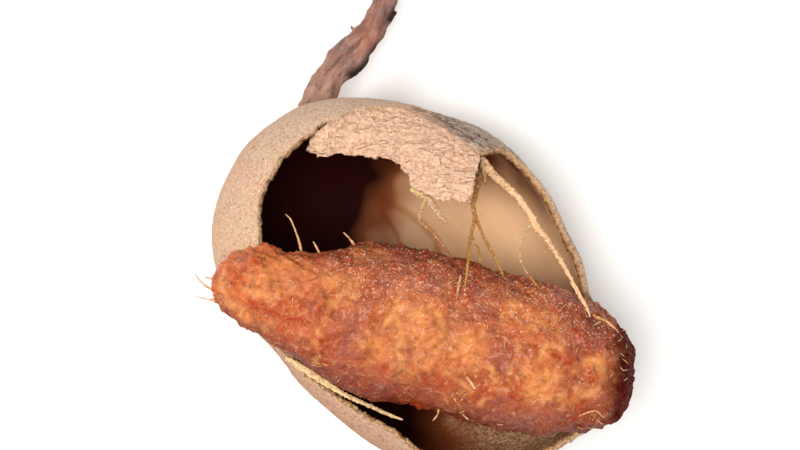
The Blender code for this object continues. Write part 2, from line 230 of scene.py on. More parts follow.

# Painted shadow on the shaded side of the stalk, under a knob and under a spur, in plan.
STALK_SHADES = (((-2.1, 22.15), (-2.8, 21.0), (-3.2, 20.4), (-4.4, 19.5)), ((-0.45, 25.5), (-0.85, 24.7)))
SHADE_WIDTH = 0.42

# Vascular strands: points of the centre line with the radius there.
MAIN_STRAND = (
    (7.2, 12.1, 3.3, 0.3), (7.45, 11.6, 3.5, 0.33), (8.05, 10.6, 3.9, 0.33), (8.87, 9.78, 4.5, 0.31),
    (9.75, 8.95, 4.9, 0.27), (10.7, 7.9, 5.2, 0.27), (11.6, 6.6, 5.6, 0.29), (11.95, 5.8, 5.8, 0.33),
    (12.35, 5.3, 6.0, 0.25), (12.96, 4.53, 6.3, 0.21), (13.99, 2.95, 6.9, 0.19), (15.0, 1.11, 7.6, 0.16),
    (15.85, -0.46, 8.0, 0.15), (16.4, -1.5, 8.05, 0.13), (16.65, -2.2, 8.1, 0.05),
)
MAIN_BRANCH = (
    (12.0, 5.85, 5.8, 0.2), (11.35, 5.6, 5.4, 0.14), (10.85, 4.85, 5.1, 0.09), (10.6, 3.85, 5.0, 0.08),
    (10.65, 2.7, 5.3, 0.09), (11.1, 1.8, 6.3, 0.08), (11.75, 0.9, 7.2, 0.07), (12.2, 0.3, 7.8, 0.04),
)
# Lesser threads that leave the main strand: a pale one at its root and a brown one below the fork.
MAIN_THREADS = (
    ((7.35, 11.5, 3.5, 0.2), (7.45, 10.8, 3.6, 0.22), (7.55, 10.1, 3.7, 0.2), (7.6, 9.4, 3.6, 0.08)),
    ((12.3, 5.3, 5.9, 0.14), (12.75, 4.9, 5.7, 0.1), (12.85, 4.1, 5.5, 0.08), (12.8, 3.4, 5.4, 0.03)),
)

MIDDLE_STRAND = (
    (6.9, 10.2, 4.4, 0.24), (6.95, 9.5, 3.9, 0.25), (6.75, 8.79, 3.4, 0.23), (6.5, 7.6, 3.2, 0.2),
    (6.65, 6.5, 3.4, 0.17), (6.3, 5.1, 4.1, 0.13), (6.15, 4.1, 5.0, 0.13), (6.05, 3.2, 6.2, 0.12),
    (5.95, 2.4, 7.3, 0.11), (5.8, 1.3, 8.5, 0.1), (5.6, 0.3, 9.5, 0.04),
)
MIDDLE_BRANCH = (
    (6.6, 6.9, 3.3, 0.16), (7.1, 5.6, 3.5, 0.13), (7.5, 4.6, 3.8, 0.12),
    (8.0, 3.7, 4.3, 0.12), (8.6, 2.6, 5.1, 0.11), (9.1, 1.3, 6.6, 0.05),
)
MIDDLE_THREADS = (
    ((6.35, 4.9, 4.2, 0.12), (6.7, 4.2, 4.7, 0.1), (6.95, 3.5, 5.4, 0.1), (7.1, 2.5, 6.6, 0.05)),
)

LEFT_STRAND = (
    (0.95, 9.1, 6.1, 0.22), (1.5, 8.75, 6.0, 0.28), (2.2, 8.3, 5.8, 0.25), (2.05, 7.6, 5.4, 0.18),
    (1.8, 6.9, 5.0, 0.18), (1.75, 6.2, 4.6, 0.17), (2.2, 5.8, 4.2, 0.13), (2.85, 5.3, 3.8, 0.14),
    (3.4, 4.6, 3.6, 0.13), (3.9, 4.0, 3.7, 0.1), (4.6, 3.0, 4.4, 0.04),
)
STUB_STRAND = (
    (2.5, 8.3, 6.1, 0.22), (2.95, 7.5, 5.3, 0.27), (3.45, 6.8, 4.5, 0.26), (3.85, 6.3, 4.0, 0.24),
    (4.2, 6.0, 3.7, 0.12),
)
RIM_STRAND = (
    (-10.1, -5.8, 5.4, 0.12), (-9.3, -6.3, 5.5, 0.26), (-8.0, -7.15, 5.75, 0.31),
    (-6.6, -8.05, 6.0, 0.27), (-5.4, -8.8, 6.1, 0.2), (-4.4, -9.35, 6.0, 0.19), (-3.3, -9.87, 5.7, 0.18),
    (-2.1, -10.4, 5.3, 0.17), (-0.8, -11.0, 4.9, 0.15), (0.25, -11.4, 4.7, 0.07),
)

# Strand pieces: name, node, lines, finishes of the first line and of the rest, roughness, torn fibres.
STRAND_PIECES = (
    ("main_strand", "strand_main", (MAIN_STRAND, MAIN_BRANCH, *MAIN_THREADS), ("pale", "tawny"), 0.1, 64),
    ("middle_strand", "strand_middle", (MIDDLE_STRAND, MIDDLE_BRANCH, *MIDDLE_THREADS), ("gold", "gold"),
     0.05, 12),
    ("left_strand", "strand_left", (LEFT_STRAND,), ("tawny",), 0.07, 16),
    ("stub_strand", "strand_stub", (STUB_STRAND,), ("pink",), 0.1, 22),
    ("rim_strand", "strand_rim", (RIM_STRAND,), ("ochre",), 0.07, 22),
)
STRAND_SIDES = 18
STRAND_RINGS_PER_POINT = 14

# Torn fibres on the strands: greatest length, greatest radius at the root, and radius of the tip.
SPUR_LENGTH = 0.16
SPUR_RADIUS = 0.12
SPUR_TIP = 0.02

# Fibres lying loose on the pulp: X, Y and radius.
PULP_LINES = (
    ((16.9, -2.0, 0.08), (17.4, -2.3, 0.13), (18.1, -2.6, 0.12), (18.9, -3.3, 0.1), (19.6, -4.1, 0.04)),
    ((5.75, -7.27, 0.1), (6.15, -7.8, 0.15), (6.53, -8.35, 0.12)),
    ((15.6, -10.9, 0.04), (16.3, -10.6, 0.07), (17.2, -10.45, 0.07), (17.9, -11.1, 0.04)),
    ((4.9, -0.6, 0.05), (5.1, 0.4, 0.1), (5.3, 1.5, 0.06)),
    ((19.3, -6.6, 0.03), (19.6, -6.9, 0.05), (20.0, -6.85, 0.03)),
)
LINE_LIFT = 0.18

# Tufts of short fibres on the pulp: X, Y, spread and number.
PULP_TUFTS = (
    (12.2, 0.0, 1.0, 16), (14.4, -1.2, 0.9, 8), (5.2, 0.6, 0.6, 8), (-8.8, 2.8, 0.5, 5),
    (13.4, -3.0, 0.7, 8), (16.2, -7.6, 1.1, 10), (5.2, -9.3, 1.1, 10), (-6.9, -6.0, 0.6, 8),
    (-14.4, 2.6, 0.7, 6), (-15.6, -0.6, 0.8, 8), (19.2, -5.6, 0.8, 6), (17.4, -11.2, 1.0, 8),
)
TUFT_SPREAD = 0.5

# Short fibres: least and most place along X, length along the pulp, rise above it and radius.
FIBRE_REACH = (-16.0, 20.2)
FIBRE_LENGTH = (0.25, 0.8)
FIBRE_RISE = (0.06, 0.24)
FIBRE_RADIUS = (0.025, 0.05)

# Hairs that stand out of the pulp, each thinner towards its tip.
PULP_HAIRS = (
    ((-13.6, -0.4, 7.6), (-15.4, -0.2, 7.6), (-16.32, 0.15, 7.6), (-17.27, 0.68, 7.7), (-18.0, 1.6, 7.9)),
    ((-13.6, -0.9, 7.3), (-15.4, -0.95, 7.5), (-16.49, -0.73, 7.6), (-18.05, -0.4, 7.6)),
    ((-8.3, 1.4, 6.4), (-8.6, 2.94, 6.2), (-8.91, 4.44, 6.0), (-9.54, 6.11, 5.6), (-10.1, 6.8, 5.4)),
    ((-3.7, 2.9, 5.2), (-3.95, 3.9, 5.2), (-4.42, 4.6, 5.2), (-5.0, 5.2, 5.2)),
    ((-6.6, 1.9, 6.0), (-7.0, 3.1, 6.0), (-7.32, 3.82, 6.0), (-7.67, 4.4, 6.0)),
    ((-15.2, 0.9, 7.7), (-16.39, 1.15, 7.8), (-17.2, 1.25, 7.8)),
    ((-14.0, -1.9, 7.2), (-15.11, -1.9, 7.2), (-15.72, -1.75, 7.2)),
    ((3.5, -9.2, 6.4), (3.4, -10.3, 6.2), (3.3, -10.9, 6.0), (2.9, -11.4, 5.9)),
    ((5.2, -9.6, 6.4), (5.4, -10.5, 6.2), (5.7, -11.0, 6.1), (6.05, -11.3, 6.1)),
)
HAIR_RADIUS = 0.12
HAIR_TAPER = 0.08

# The camera looks straight down on the opening. Its distance is in metres, its lens and sensor in mm.
CAMERA_DISTANCE = 0.3
CAMERA_LENS = 150.0
CAMERA_SENSOR = 36.0
PICTURE_CENTRE = Vector((0.0, 5.85, 0.0))

# The lights face one point of the pod. Each has its place from there and its width, in metres, and its tone.
LIT_POINT = (1.0, 1.0, 2.0)
KEY_LIGHT = (Vector((-0.42, 0.06, 0.42)), 0.18, "#FFF8F0")
FRONT_LIGHT = (Vector((-0.06, -0.04, 0.7)), 0.3, "#FFFCF8")

# The floor lies just under the flat on the back, so that the two don't share a plane.
FLOOR_DROP = 0.02


def linear(code):
    """Linear red, green and blue of an sRGB hex value."""
    values = []
    for i in (1, 3, 5):
        part = int(code[i:i + 2], 16) / 255.0
        values.append(part / 12.92 if part <= 0.04045 else ((part + 0.055) / 1.055) ** 2.4)
    return tuple(values)


def colour(label, words, code):
    """Colour setting of a property group, from a hex value."""
    return FloatVectorProperty(
        name=label, description=words, subtype="COLOR", size=3, min=0.0, max=1.0, default=linear(code)
    )


class PodHusk(bpy.types.PropertyGroup):
    """Sizes and colours of the husk."""

    wall: FloatProperty(name="Wall", description="Thickness of the husk", default=0.85 * MM, unit="LENGTH")
    columns: IntProperty(name="Columns", description="Faces round the husk", default=432, min=72)
    rows: IntProperty(name="Rows", description="Faces from the broken edge to the back", default=88, min=12)
    flap_rows: IntProperty(name="Flap rows", description="Faces down the flap", default=44, min=8)
    relief: FloatProperty(
        name="Relief", description="Depth of the crumpled skin", default=0.17 * MM, unit="LENGTH"
    )
    skin: colour("Skin", "Dry outer skin", "#C8A98B")
    blush: colour("Blush", "Pinkish grains in the skin", "#C99C84")
    flap: colour("Flap", "Paler crumpled skin of the flap", "#E7C1A3")
    weathered: colour("Weathered", "Grey weathered skin", "#B2A698")
    crack: colour("Crack", "Dark cracks and pinpoints", "#4B2F2B")
    ruddy: colour("Ruddy", "Reddish-brown skin low on the pod", "#9A6450")
    lining: colour("Lining", "Silky inner wall", "#F2C499")
    # Near-black of the pulp's stain on the inner wall, which also serves as painted shade in the deep left
    # of the cavity.
    stain_and_shade: colour("Stain", "Inner wall stained by the pulp", "#230301")
    broken: colour("Broken edge", "Corky broken edge", "#C9A278")


class PodPulp(bpy.types.PropertyGroup):
    """Sizes and colours of the pulp."""

    rings: IntProperty(name="Rings", description="Faces along the pulp", default=300, min=24)
    sides: IntProperty(name="Sides", description="Faces round the pulp", default=260, min=16)
    grain: FloatProperty(
        name="Grain", description="Depth of the fine lumps", default=0.07 * MM, unit="LENGTH"
    )
    fibres: IntProperty(name="Fibres", description="Short pale fibres on the pulp", default=130, min=0)
    amber: colour("Amber", "Clear light pulp", "#DC9656")
    orange: colour("Orange", "Moist pulp", "#B8440F")
    maroon: colour("Maroon", "Deep pulp", "#6C2414")
    # Dark dried pulp, which also serves as painted shade along the pulp's edges and underneath.
    dried_and_shade: colour("Purple", "Dried dark pulp", "#480C08")
    bloom: colour("Bloom", "Dull pinkish bloom", "#A65C48")


class PodStalk(bpy.types.PropertyGroup):
    """Sizes and colours of the stalk."""

    rings: IntProperty(name="Rings", description="Faces along the stalk", default=150, min=24)
    sides: IntProperty(name="Sides", description="Faces round the stalk", default=64, min=12)
    bark: colour("Bark", "Grey-violet bark", "#7F605A")
    furrow: colour("Furrow", "Dark furrows", "#5A3B36")
    patch: colour("Patch", "Reddish bark patches", "#986650")


class PodStrands(bpy.types.PropertyGroup):
    """Colours of the strands."""

    cream: colour("Cream", "Pale rough strand", "#F0C496")
    peach: colour("Peach", "Peach tint of the strand", "#EBB788")
    gold: colour("Gold", "Brown end of the golden thread", "#A0683A")
    honey: colour("Honey", "Honey-coloured thread", "#C9913E")
    straw: colour("Straw", "Dry straw-coloured thread", "#DAC08C")
    amber: colour("Amber", "Clear orange thread", "#B0602A")
    pink: colour("Pink", "Pinkish rough strand", "#E2B794")
    thread: colour("Thread", "Fine fibres of the pulp", "#CC8448")


class PodStage(bpy.types.PropertyGroup):
    """Floor, camera and lights."""

    floor_size: FloatProperty(name="Floor", description="Side of the floor", default=1.6, unit="LENGTH")
    floor: colour("Floor", "Matt white floor", "#FAFAFA")
    key_power: FloatProperty(
        name="Key", description="Power of the light at the left", default=1.0, unit="POWER"
    )
    front_power: FloatProperty(
        name="Front", description="Power of the light above", default=4.0, unit="POWER"
    )
    sky: FloatProperty(name="Sky", description="Strength of the even light", default=0.5, min=0.0)


def hermite(before, start, end, after, fraction):
    """Smooth value between two of four (position, value) knots."""
    span = end[0] - start[0]
    slope_in = (end[1] - before[1]) / (end[0] - before[0]) * span
    slope_out = (after[1] - start[1]) / (after[0] - start[0]) * span
    square = fraction * fraction
    cube = square * fraction
    return (
        (2.0 * cube - 3.0 * square + 1.0) * start[1]
        + (cube - 2.0 * square + fraction) * slope_in
        + (3.0 * square - 2.0 * cube) * end[1]
        + (cube - square) * slope_out
    )


def around(table, angle):
    """Value at an angle in degrees of a table that closes on itself."""
    angle = angle % 360.0
    knots = [(a - 360.0, v) for a, v in table[-3:]]
    knots += list(table)
    knots += [(a + 360.0, v) for a, v in table[:3]]
    for i in range(1, len(knots) - 2):
        if knots[i][0] <= angle < knots[i + 1][0]:
            fraction = (angle - knots[i][0]) / (knots[i + 1][0] - knots[i][0])
            return hermite(knots[i - 1], knots[i], knots[i + 1], knots[i + 2], fraction)
    raise ValueError("angle outside the table")


def smooth_step(low, high, value):
    """Soft step from 0 at low to 1 at high, whichever of them is the larger."""
    share = min(max((value - low) / (high - low), 0.0), 1.0)
    return share * share * (3.0 - 2.0 * share)


def blob(point, centre, spread):
    """Soft round patch: 1 at its centre, about 0.4 one spread away."""
    away = (point - Vector(centre)).length / spread
    return math.exp(-away * away)


def dome_point(reach, angle, latitude):
    """Point of the husk's smooth outside; reach is its radius at that angle."""
    turn = math.radians(angle)
    tilt = math.radians(latitude)
    across = reach * max(math.cos(tilt), 0.0) ** SIDE_POWER
    depth = FRONT_DEPTH if latitude > 0.0 else BACK_DEPTH
    height = math.copysign(depth * abs(math.sin(tilt)) ** DEPTH_POWER, latitude)
    point = HUSK_CENTRE + Vector((across * math.cos(turn), across * math.sin(turn), height))
    outward = Vector((math.cos(tilt) * math.cos(turn), math.cos(tilt) * math.sin(turn), math.sin(tilt)))
    point += outward * HUSK_LUMP * noise.noise(point * HUSK_LUMPS_PER_MM)
    point.z = max(point.z, FLAT_CUT - BACK_DEPTH)
    return point


def grid_mesh(columns, rows, corner):
    """Grid of columns by rows faces, each vertex placed by corner(column, row)."""
    bm = bmesh.new()
    bmesh.ops.create_grid(bm, x_segments=columns, y_segments=rows, size=0.5)
    for vertex in bm.verts:
        column = round((vertex.co.x + 0.5) * columns)
        row = round((vertex.co.y + 0.5) * rows)
        vertex.co = corner(column, row)
    return bm


def finish_piece(bm, name, materials, nodes=()):
    """Turn a mesh in pod millimetres into a finished piece of the part."""
    bmesh.ops.translate(bm, verts=bm.verts[:], vec=PART_OFFSET)
    bmesh.ops.scale(bm, verts=bm.verts[:], vec=(MM, MM, MM))
    mesh = bpy.data.meshes.new(name)
    bm.to_mesh(mesh)
    bm.free()
    for material in materials:
        mesh.materials.append(material)
    for polygon in mesh.polygons:
        polygon.use_smooth = True
    piece = bpy.data.objects.new(name, mesh)
    bpy.context.scene.collection.objects.link(piece)
    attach(piece, "root")
    if nodes:
        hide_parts(*nodes)
    return piece


def patches(point, places):
    """Share, 0 to 1, of the nearest of some soft-edged patches seen from above."""
    return max(math.exp(-(math.hypot(point.x - x, point.y - y) / radius) ** 2) for x, y, radius in places)


def point_along(line, share):
    """Point at a share of the length of a line of points."""
    points = [Vector(point) for point in line]
    steps = [(end - start).length for start, end in zip(points, points[1:])]
    left = share * sum(steps)
    for start, end, step in zip(points, points[1:], steps):
        if left <= step:
            return start.lerp(end, left / step)
        left -= step
    return points[-1]


def paint(value):
    """Node colour from a hex value, a share of white, or linear red, green and blue."""
    if isinstance(value, str):
        value = linear(value)
    elif isinstance(value, float):
        value = (value, value, value)
    return (*value[:3], 1.0)


def feed(material, node, inputs):
    """Set a node's inputs, or link them where a socket or a node with one live output is given."""
    for name, value in inputs.items():
        socket = node.inputs[name]
        if isinstance(value, bpy.types.Node):
            value = next(output for output in value.outputs if output.enabled)
        if isinstance(value, bpy.types.NodeSocket):
            material.node_tree.links.new(value, socket)
        elif socket.type == "RGBA":
            socket.default_value = paint(value)
        else:
            socket.default_value = value


def add(material, kind, inputs=None, stops=None, **settings):
    """Add a node with its settings, its linked or fixed inputs and its colour stops."""
    node = material.node_tree.nodes.new(kind)
    for name, value in settings.items():
        setattr(node, name, value)
    if stops:
        ramp = node.color_ramp
        while len(ramp.elements) < len(stops):
            ramp.elements.new(0.5)
        for element, (position, value) in zip(ramp.elements, stops):
            element.position = position
            element.color = paint(value)
    feed(material, node, inputs or {})
    return node


def start_material(name):
    """New material, its shader and the socket that gives a point's place in the part."""
    material = bpy.data.materials.new(name)
    material.use_nodes = True
    shader = material.node_tree.nodes["Principled BSDF"]
    place = add(material, "ShaderNodeTexCoord").outputs["Object"]
    return material, shader, place


def per_metre(size_in_mm):
    """Texture scale whose features are about this many millimetres wide."""
    return 1.0 / (size_in_mm * MM)


def layered(material, base, layers):
    """Lay colours over a base one after another, each as far as its own share goes."""
    for share, over in layers:
        base = add(material, "ShaderNodeMix", {0: share, 6: base, 7: over}, data_type="RGBA")
    return base


def husk_skin(husk):
    """Dry tamarind husk: a dull, scurfy skin, crumpled on the flap and weathered grey on the far side, with
    painted shade in the flap's creases and between its grains.

    Its dust is finer than 0.2 mm, which is as fine as shows.
    """
    material, shader, place = start_material("dry_scurfy_husk")
    tint = add(material, "ShaderNodeAttribute", attribute_name="tint")
    crumple, grey, ruddy = add(material, "ShaderNodeSeparateColor", {"Color": tint.outputs["Color"]}).outputs
    drawn = add(material, "ShaderNodeMapping", {"Vector": place, "Scale": (1.5, 0.85, 0.85)},
                vector_type="TEXTURE")
    ridge_way = add(material, "ShaderNodeMapping", {"Vector": place, "Rotation": (0.0, 0.0, -0.5),
                                                    "Scale": (3.5, 0.9, 0.9)}, vector_type="TEXTURE")
    drift = add(material, "ShaderNodeTexNoise", {"Vector": place, "Scale": per_metre(2.4), "Detail": 4.0})
    folds = add(material, "ShaderNodeTexNoise", {"Vector": drawn, "Scale": per_metre(1.5), "Detail": 3.0,
                                                 "Roughness": 0.6, "Distortion": 0.8})
    pebbles = add(material, "ShaderNodeTexVoronoi", {"Vector": place, "Scale": per_metre(0.34)})
    splits = add(material, "ShaderNodeTexNoise", {"Vector": ridge_way, "Scale": per_metre(0.7),
                                                  "Detail": 2.0, "Distortion": 0.6})
    scurf = add(material, "ShaderNodeTexNoise", {"Vector": place, "Scale": per_metre(0.42), "Detail": 3.0,
                                                 "Roughness": 0.62})
    dust = add(material, "ShaderNodeTexNoise", {"Vector": place, "Scale": per_metre(0.2), "Detail": 2.0})
    fresh = add(material, "ShaderNodeValToRGB", {"Fac": crumple}, stops=((0.3, 0.0), (1.0, 0.75)))
    clean = add(material, "ShaderNodeValToRGB", {"Fac": crumple}, stops=((0.3, 1.0), (1.0, 0.35)))
    cloud = add(material, "ShaderNodeValToRGB", {"Fac": drift}, stops=((0.38, 0.0), (0.62, 0.6)))
    pale = add(material, "ShaderNodeValToRGB", {"Fac": dust}, stops=((0.5, 0.0), (0.66, 0.5)))
    grains = add(material, "ShaderNodeValToRGB", {"Fac": scurf}, stops=((0.5, 0.0), (0.6, 0.7)))
    pits = add(material, "ShaderNodeValToRGB", {"Fac": scurf}, stops=((0.3, 0.75), (0.39, 0.0)))
    off_fold = add(material, "ShaderNodeMath", {0: folds, 1: 0.5}, operation="SUBTRACT")
    line = add(material, "ShaderNodeMath", {0: off_fold}, operation="ABSOLUTE")
    # Painted shade along the flap's creases, where the bump makes a groove.
    crease_shade = add(material, "ShaderNodeValToRGB", {"Fac": line}, stops=((0.0, 0.9), (0.03, 0.0)))
    creased = add(material, "ShaderNodeMath", {0: crease_shade, 1: crumple}, operation="MULTIPLY")
    fold_shade = add(material, "ShaderNodeMath", {0: creased, 1: drift}, operation="MULTIPLY")
    off_split = add(material, "ShaderNodeMath", {0: splits, 1: 0.5}, operation="SUBTRACT")
    thin_split = add(material, "ShaderNodeMath", {0: off_split}, operation="ABSOLUTE")
    pinpoint = add(material, "ShaderNodeMath", {0: pits, 1: clean}, operation="MULTIPLY")
    torn = tint.outputs["Alpha"]
    # Painted shade: each pit's hole is drawn near-black, with no hole in the wall.
    hole_shade = add(material, "ShaderNodeValToRGB", {"Fac": torn}, stops=((0.7, 0.0), (0.9, 1.0)))
    cork = add(material, "ShaderNodeAttribute", attribute_name="seam").outputs["Fac"]
    seam = add(material, "ShaderNodeMath", {0: cork, 1: scurf}, operation="MULTIPLY")
    gash = add(material, "ShaderNodeValToRGB", {"Fac": thin_split}, stops=((0.04, 1.0), (0.12, 0.0)))
    split = add(material, "ShaderNodeMath", {0: gash, 1: torn}, operation="MULTIPLY")
    # Low on the pod the skin is reddish-brown, and darkened further there as painted shade.
    low_ruddy_shade = add(material, "ShaderNodeMath", {0: ruddy, 1: 0.6}, operation="MULTIPLY")
    spots = add(material, "ShaderNodeMath", {0: grains, 1: ruddy}, operation="MULTIPLY")
    # Painted shade in the gaps between the flap's rounded grains.
    gaps = add(material, "ShaderNodeValToRGB", {"Fac": pebbles.outputs["Distance"]},
               stops=((0.4, 0.0), (0.8, 0.45)))
    pebble_gap_shade = add(material, "ShaderNodeMath", {0: gaps, 1: crumple}, operation="MULTIPLY")
    weather = layered(material, husk.weathered, ((grains, "#8C7B6E"), (pale, "#D2C6B8")))
    base = layered(material, husk.skin, (
        (cloud, husk.blush), (grains, "#B38469"), (pale, "#EBD3B8"), (fresh, husk.flap),
        (low_ruddy_shade, "#A87A60"), (spots, husk.ruddy), (grey, weather), (pinpoint, "#7D5747"),
        (pebble_gap_shade, "#BE8468"), (fold_shade, "#9A6450"), (seam, husk.broken), (split, husk.crack), (hole_shade, "#2A1614"),
    ))
    swell = add(material, "ShaderNodeValToRGB", {"Fac": line}, stops=((0.0, 0.0), (0.14, 1.0)))
    lift = add(material, "ShaderNodeMath", {0: swell, 1: crumple}, operation="MULTIPLY")
    coarse = add(material, "ShaderNodeBump", {"Height": lift, "Distance": 0.15 * MM, "Strength": 0.9})
    domes = add(material, "ShaderNodeBump", {"Height": pebble_gap_shade, "Distance": 0.1 * MM, "Strength": 0.9,
                                             "Normal": coarse}, invert=True)
    height = add(material, "ShaderNodeMath", {0: dust, 1: 0.5, 2: scurf}, operation="MULTIPLY_ADD")
    fine = add(material, "ShaderNodeBump", {"Height": height, "Distance": 0.15 * MM, "Strength": 0.9,
                                            "Normal": domes})
    feed(material, shader, {
        "Base Color": base, "Roughness": 0.88, "Specular IOR Level": 0.15, "Normal": fine,
    })
    return material


def husk_lining(husk):
    """Inner wall of the husk: smooth and silky, pale where clean, stained where the pulp clung to it, and
    darkened with painted shade in the deep left of the cavity.
    """
    material, shader, place = start_material("silky_husk_lining")
    tint = add(material, "ShaderNodeAttribute", attribute_name="tint")
    stain_and_shade, brown_shade, specks = add(material, "ShaderNodeSeparateColor", {"Color": tint.outputs["Color"]}).outputs
    cloud = add(material, "ShaderNodeTexNoise", {"Vector": place, "Scale": per_metre(4.0), "Detail": 3.0})
    grit = add(material, "ShaderNodeTexNoise", {"Vector": place, "Scale": per_metre(0.3), "Detail": 3.0,
                                                "Roughness": 0.7})
    silk_way = add(material, "ShaderNodeMapping", {"Vector": place, "Rotation": (0.0, 0.0, -0.75),
                                                   "Scale": (3.0, 1.0, 1.0)}, vector_type="TEXTURE")
    silk = add(material, "ShaderNodeTexNoise", {"Vector": silk_way, "Scale": per_metre(1.6), "Detail": 4.0,
                                                "Distortion": 0.6})
    streak = add(material, "ShaderNodeValToRGB", {"Fac": silk}, stops=((0.42, 0.0), (0.72, 0.35)))
    dots = add(material, "ShaderNodeValToRGB", {"Fac": grit}, stops=((0.4, 0.75), (0.6, 0.0)))
    spotted = add(material, "ShaderNodeMath", {0: dots, 1: specks}, operation="MULTIPLY")
    # Pulp stain and painted shade together: rust-brown at their edge, near-black in the deep left of the
    # cavity.
    stain_and_shade_edge = add(material, "ShaderNodeValToRGB", {"Fac": stain_and_shade}, stops=((0.0, 0.0), (0.12, 0.3), (0.45, 0.92)))
    deep = add(material, "ShaderNodeValToRGB", {"Fac": stain_and_shade}, stops=((0.3, 0.0), (0.45, 0.25), (0.85, 1.0)))
    # Painted shade: brown near the flap and rim at the top right, towards the left, and below the pulp.
    base = layered(material, husk.lining, (
        (cloud, "#E6B488"), (streak, "#F2CFA4"), (brown_shade, "#783A1E"), (tint.outputs["Alpha"], "#A8581C"),
        (spotted, "#5A3018"), (stain_and_shade_edge, "#86401C"), (deep, husk.stain_and_shade),
    ))
    height = add(material, "ShaderNodeMath", {0: grit, 1: specks, 2: silk}, operation="MULTIPLY_ADD")
    bump = add(material, "ShaderNodeBump", {"Height": height, "Distance": 0.2 * MM, "Strength": 0.5})
    feed(material, shader, {
        "Base Color": base, "Roughness": 0.7, "Specular IOR Level": 0.06, "Normal": bump,
    })
    return material


def husk_broken_edge(husk):
    """Broken husk: granular corky wall, ochre between the skin and the browner lining."""
    material, shader, place = start_material("corky_broken_edge")
    depth = add(material, "ShaderNodeAttribute", attribute_name="depth").outputs["Fac"]
    grit = add(material, "ShaderNodeTexVoronoi", {"Vector": place, "Scale": per_metre(0.3)})
    cloud = add(material, "ShaderNodeTexNoise", {"Vector": place, "Scale": per_metre(0.6), "Detail": 3.0})
    wander = add(material, "ShaderNodeMath", {0: cloud, 1: 0.9, 2: depth}, operation="MULTIPLY_ADD")
    inward = add(material, "ShaderNodeMath", {0: wander, 1: 0.45}, operation="SUBTRACT")
    wood = add(material, "ShaderNodeValToRGB", {"Fac": inward}, stops=(
        (0.0, "#CDAE90"), (0.2, "#CEA884"), (0.5, husk.broken), (0.8, "#9C7148"), (1.0, "#6E4730"),
    ))
    gaps = add(material, "ShaderNodeValToRGB", {"Fac": grit.outputs["Distance"]},
               stops=((0.45, 0.0), (0.9, 0.5)))
    base = layered(material, wood, ((gaps, "#5C3A22"),))
    bump = add(material, "ShaderNodeBump", {"Height": grit.outputs["Distance"], "Distance": 0.2 * MM,
                                            "Strength": 1.0}, invert=True)
    feed(material, shader, {
        "Base Color": base, "Roughness": 0.9, "Specular IOR Level": 0.1, "Normal": bump,
    })
    return material


def skin_relief(point, crumple):
    """Height of the husk's skin, about -1 to 1: folds half a millimetre wide, drawn out along X."""
    drawn = Vector((point.x * 0.7, point.y * 1.25, point.z * 1.25))
    bend = noise.noise_vector(point * 0.9) * 0.45
    folds = 0.7 - 2.4 * abs(noise.noise(drawn * 1.35 + bend))
    lumps = noise.noise(drawn * 2.7 + bend)
    broad = noise.noise(point * 0.4)
    return (0.12 + 0.88 * crumple) * (0.7 * folds + 0.5 * lumps) + 0.4 * broad


def near_line(point, line, width):
    """Soft share, 1 on a line of points and about 0.4 one width away from it, in plan."""
    spot = Vector((point.x, point.y))
    nearest = 1000.0
    for start, end in zip(line, line[1:]):
        a = Vector(start[:2])
        b = Vector(end[:2])
        share = min(max((spot - a).dot(b - a) / (b - a).length_squared, 0.0), 1.0)
        nearest = min(nearest, (spot - a.lerp(b, share)).length)
    return math.exp(-(nearest / width) ** 2)


def skin_tint(point, flap, to_edge):
    """Shares of crumple, grey weathering, ruddy speckle and painted shade low on the pod, and cracks over
    the outside.

    The steps' limits are places in pod millimetres, as in the other tints.
    """
    wander = 0.5 + 0.5 * noise.noise(point * 0.35)
    up = max(smooth_step(-3.5, 1.5, point.z + 1.5 * wander), flap)
    brow = smooth_step(-2.0, 0.5, point.x) * smooth_step(11.0, 13.5, point.y) * up
    ridge = smooth_step(2.0, 5.0, point.x) * smooth_step(-6.0, 4.0, point.y) * up
    top = 0.3 * smooth_step(9.0, 17.0, point.y) * (1.0 - brow)
    back = 0.6 * smooth_step(0.0, -7.0, point.z) * (0.6 + 0.6 * wander)
    worn = smooth_step(0.9, 0.25, to_edge)
    grey = min(max(0.9 * ridge, back, top) * (1.0 - flap) * (1.0 - 0.8 * worn), 1.0)
    low = smooth_step(1.0, -6.0, point.y) * smooth_step(9.0, 3.0, point.z) * (1.0 - 0.7 * ridge)
    crumple = max(flap, 0.9 * brow, 0.7 * ridge, 0.3 * low)
    torn = 0.0
    if point.y > 9.0 and point.z > 0.0:
        torn = CRACK_SHARE * near_line(point, HINGE_CRACK, CRACK_WIDTH)
        for x, y, radius in SKIN_PITS:
            torn = max(torn, math.exp(-(math.hypot(point.x - x, point.y - y) / radius) ** 4))
        torn *= smooth_step(0.5, 2.5, point.z)
    return (0.14 + 0.86 * crumple, grey, low * (0.55 + 0.45 * wander), torn)


def lining_tint(point):
    """Shares of dark stain with painted shade, of painted brown shade, of specks and of veins over the inner
    wall.
    """
    wander = noise.noise(point * 0.45)
    # The dark comes in from the left: pulp stain, and painted shade where the left rim and the dome overhang
    # the cavity.
    edge = -4.8 + 0.4 * (point.y - 6.7) + 1.4 * wander
    stain_and_shade = smooth_step(edge + 7.0, edge - 1.6, point.x)
    below = smooth_step(-4.0, -8.0, point.y)
    stain_and_shade = max(stain_and_shade * (1.0 - below), below * smooth_step(9.5 + 2.0 * wander, -2.0, point.x))
    # Painted shade: browner towards the top right under the flap and rim, towards the left, and below the
    # pulp.
    brown_shade = smooth_step(6.5, 11.5, point.y + 0.35 * (point.x - 10.0))
    brown_shade += 0.3 * smooth_step(4.0, -1.0, point.x) + 0.4 * below
    vein = max(near_line(point, line, width) for line, width in WALL_VEINS)
    brown_shade *= 0.8 + 0.4 * wander
    return (min(stain_and_shade, 1.0), min(brown_shade, 1.0), below, 0.8 * vein * (0.7 + 0.5 * wander))


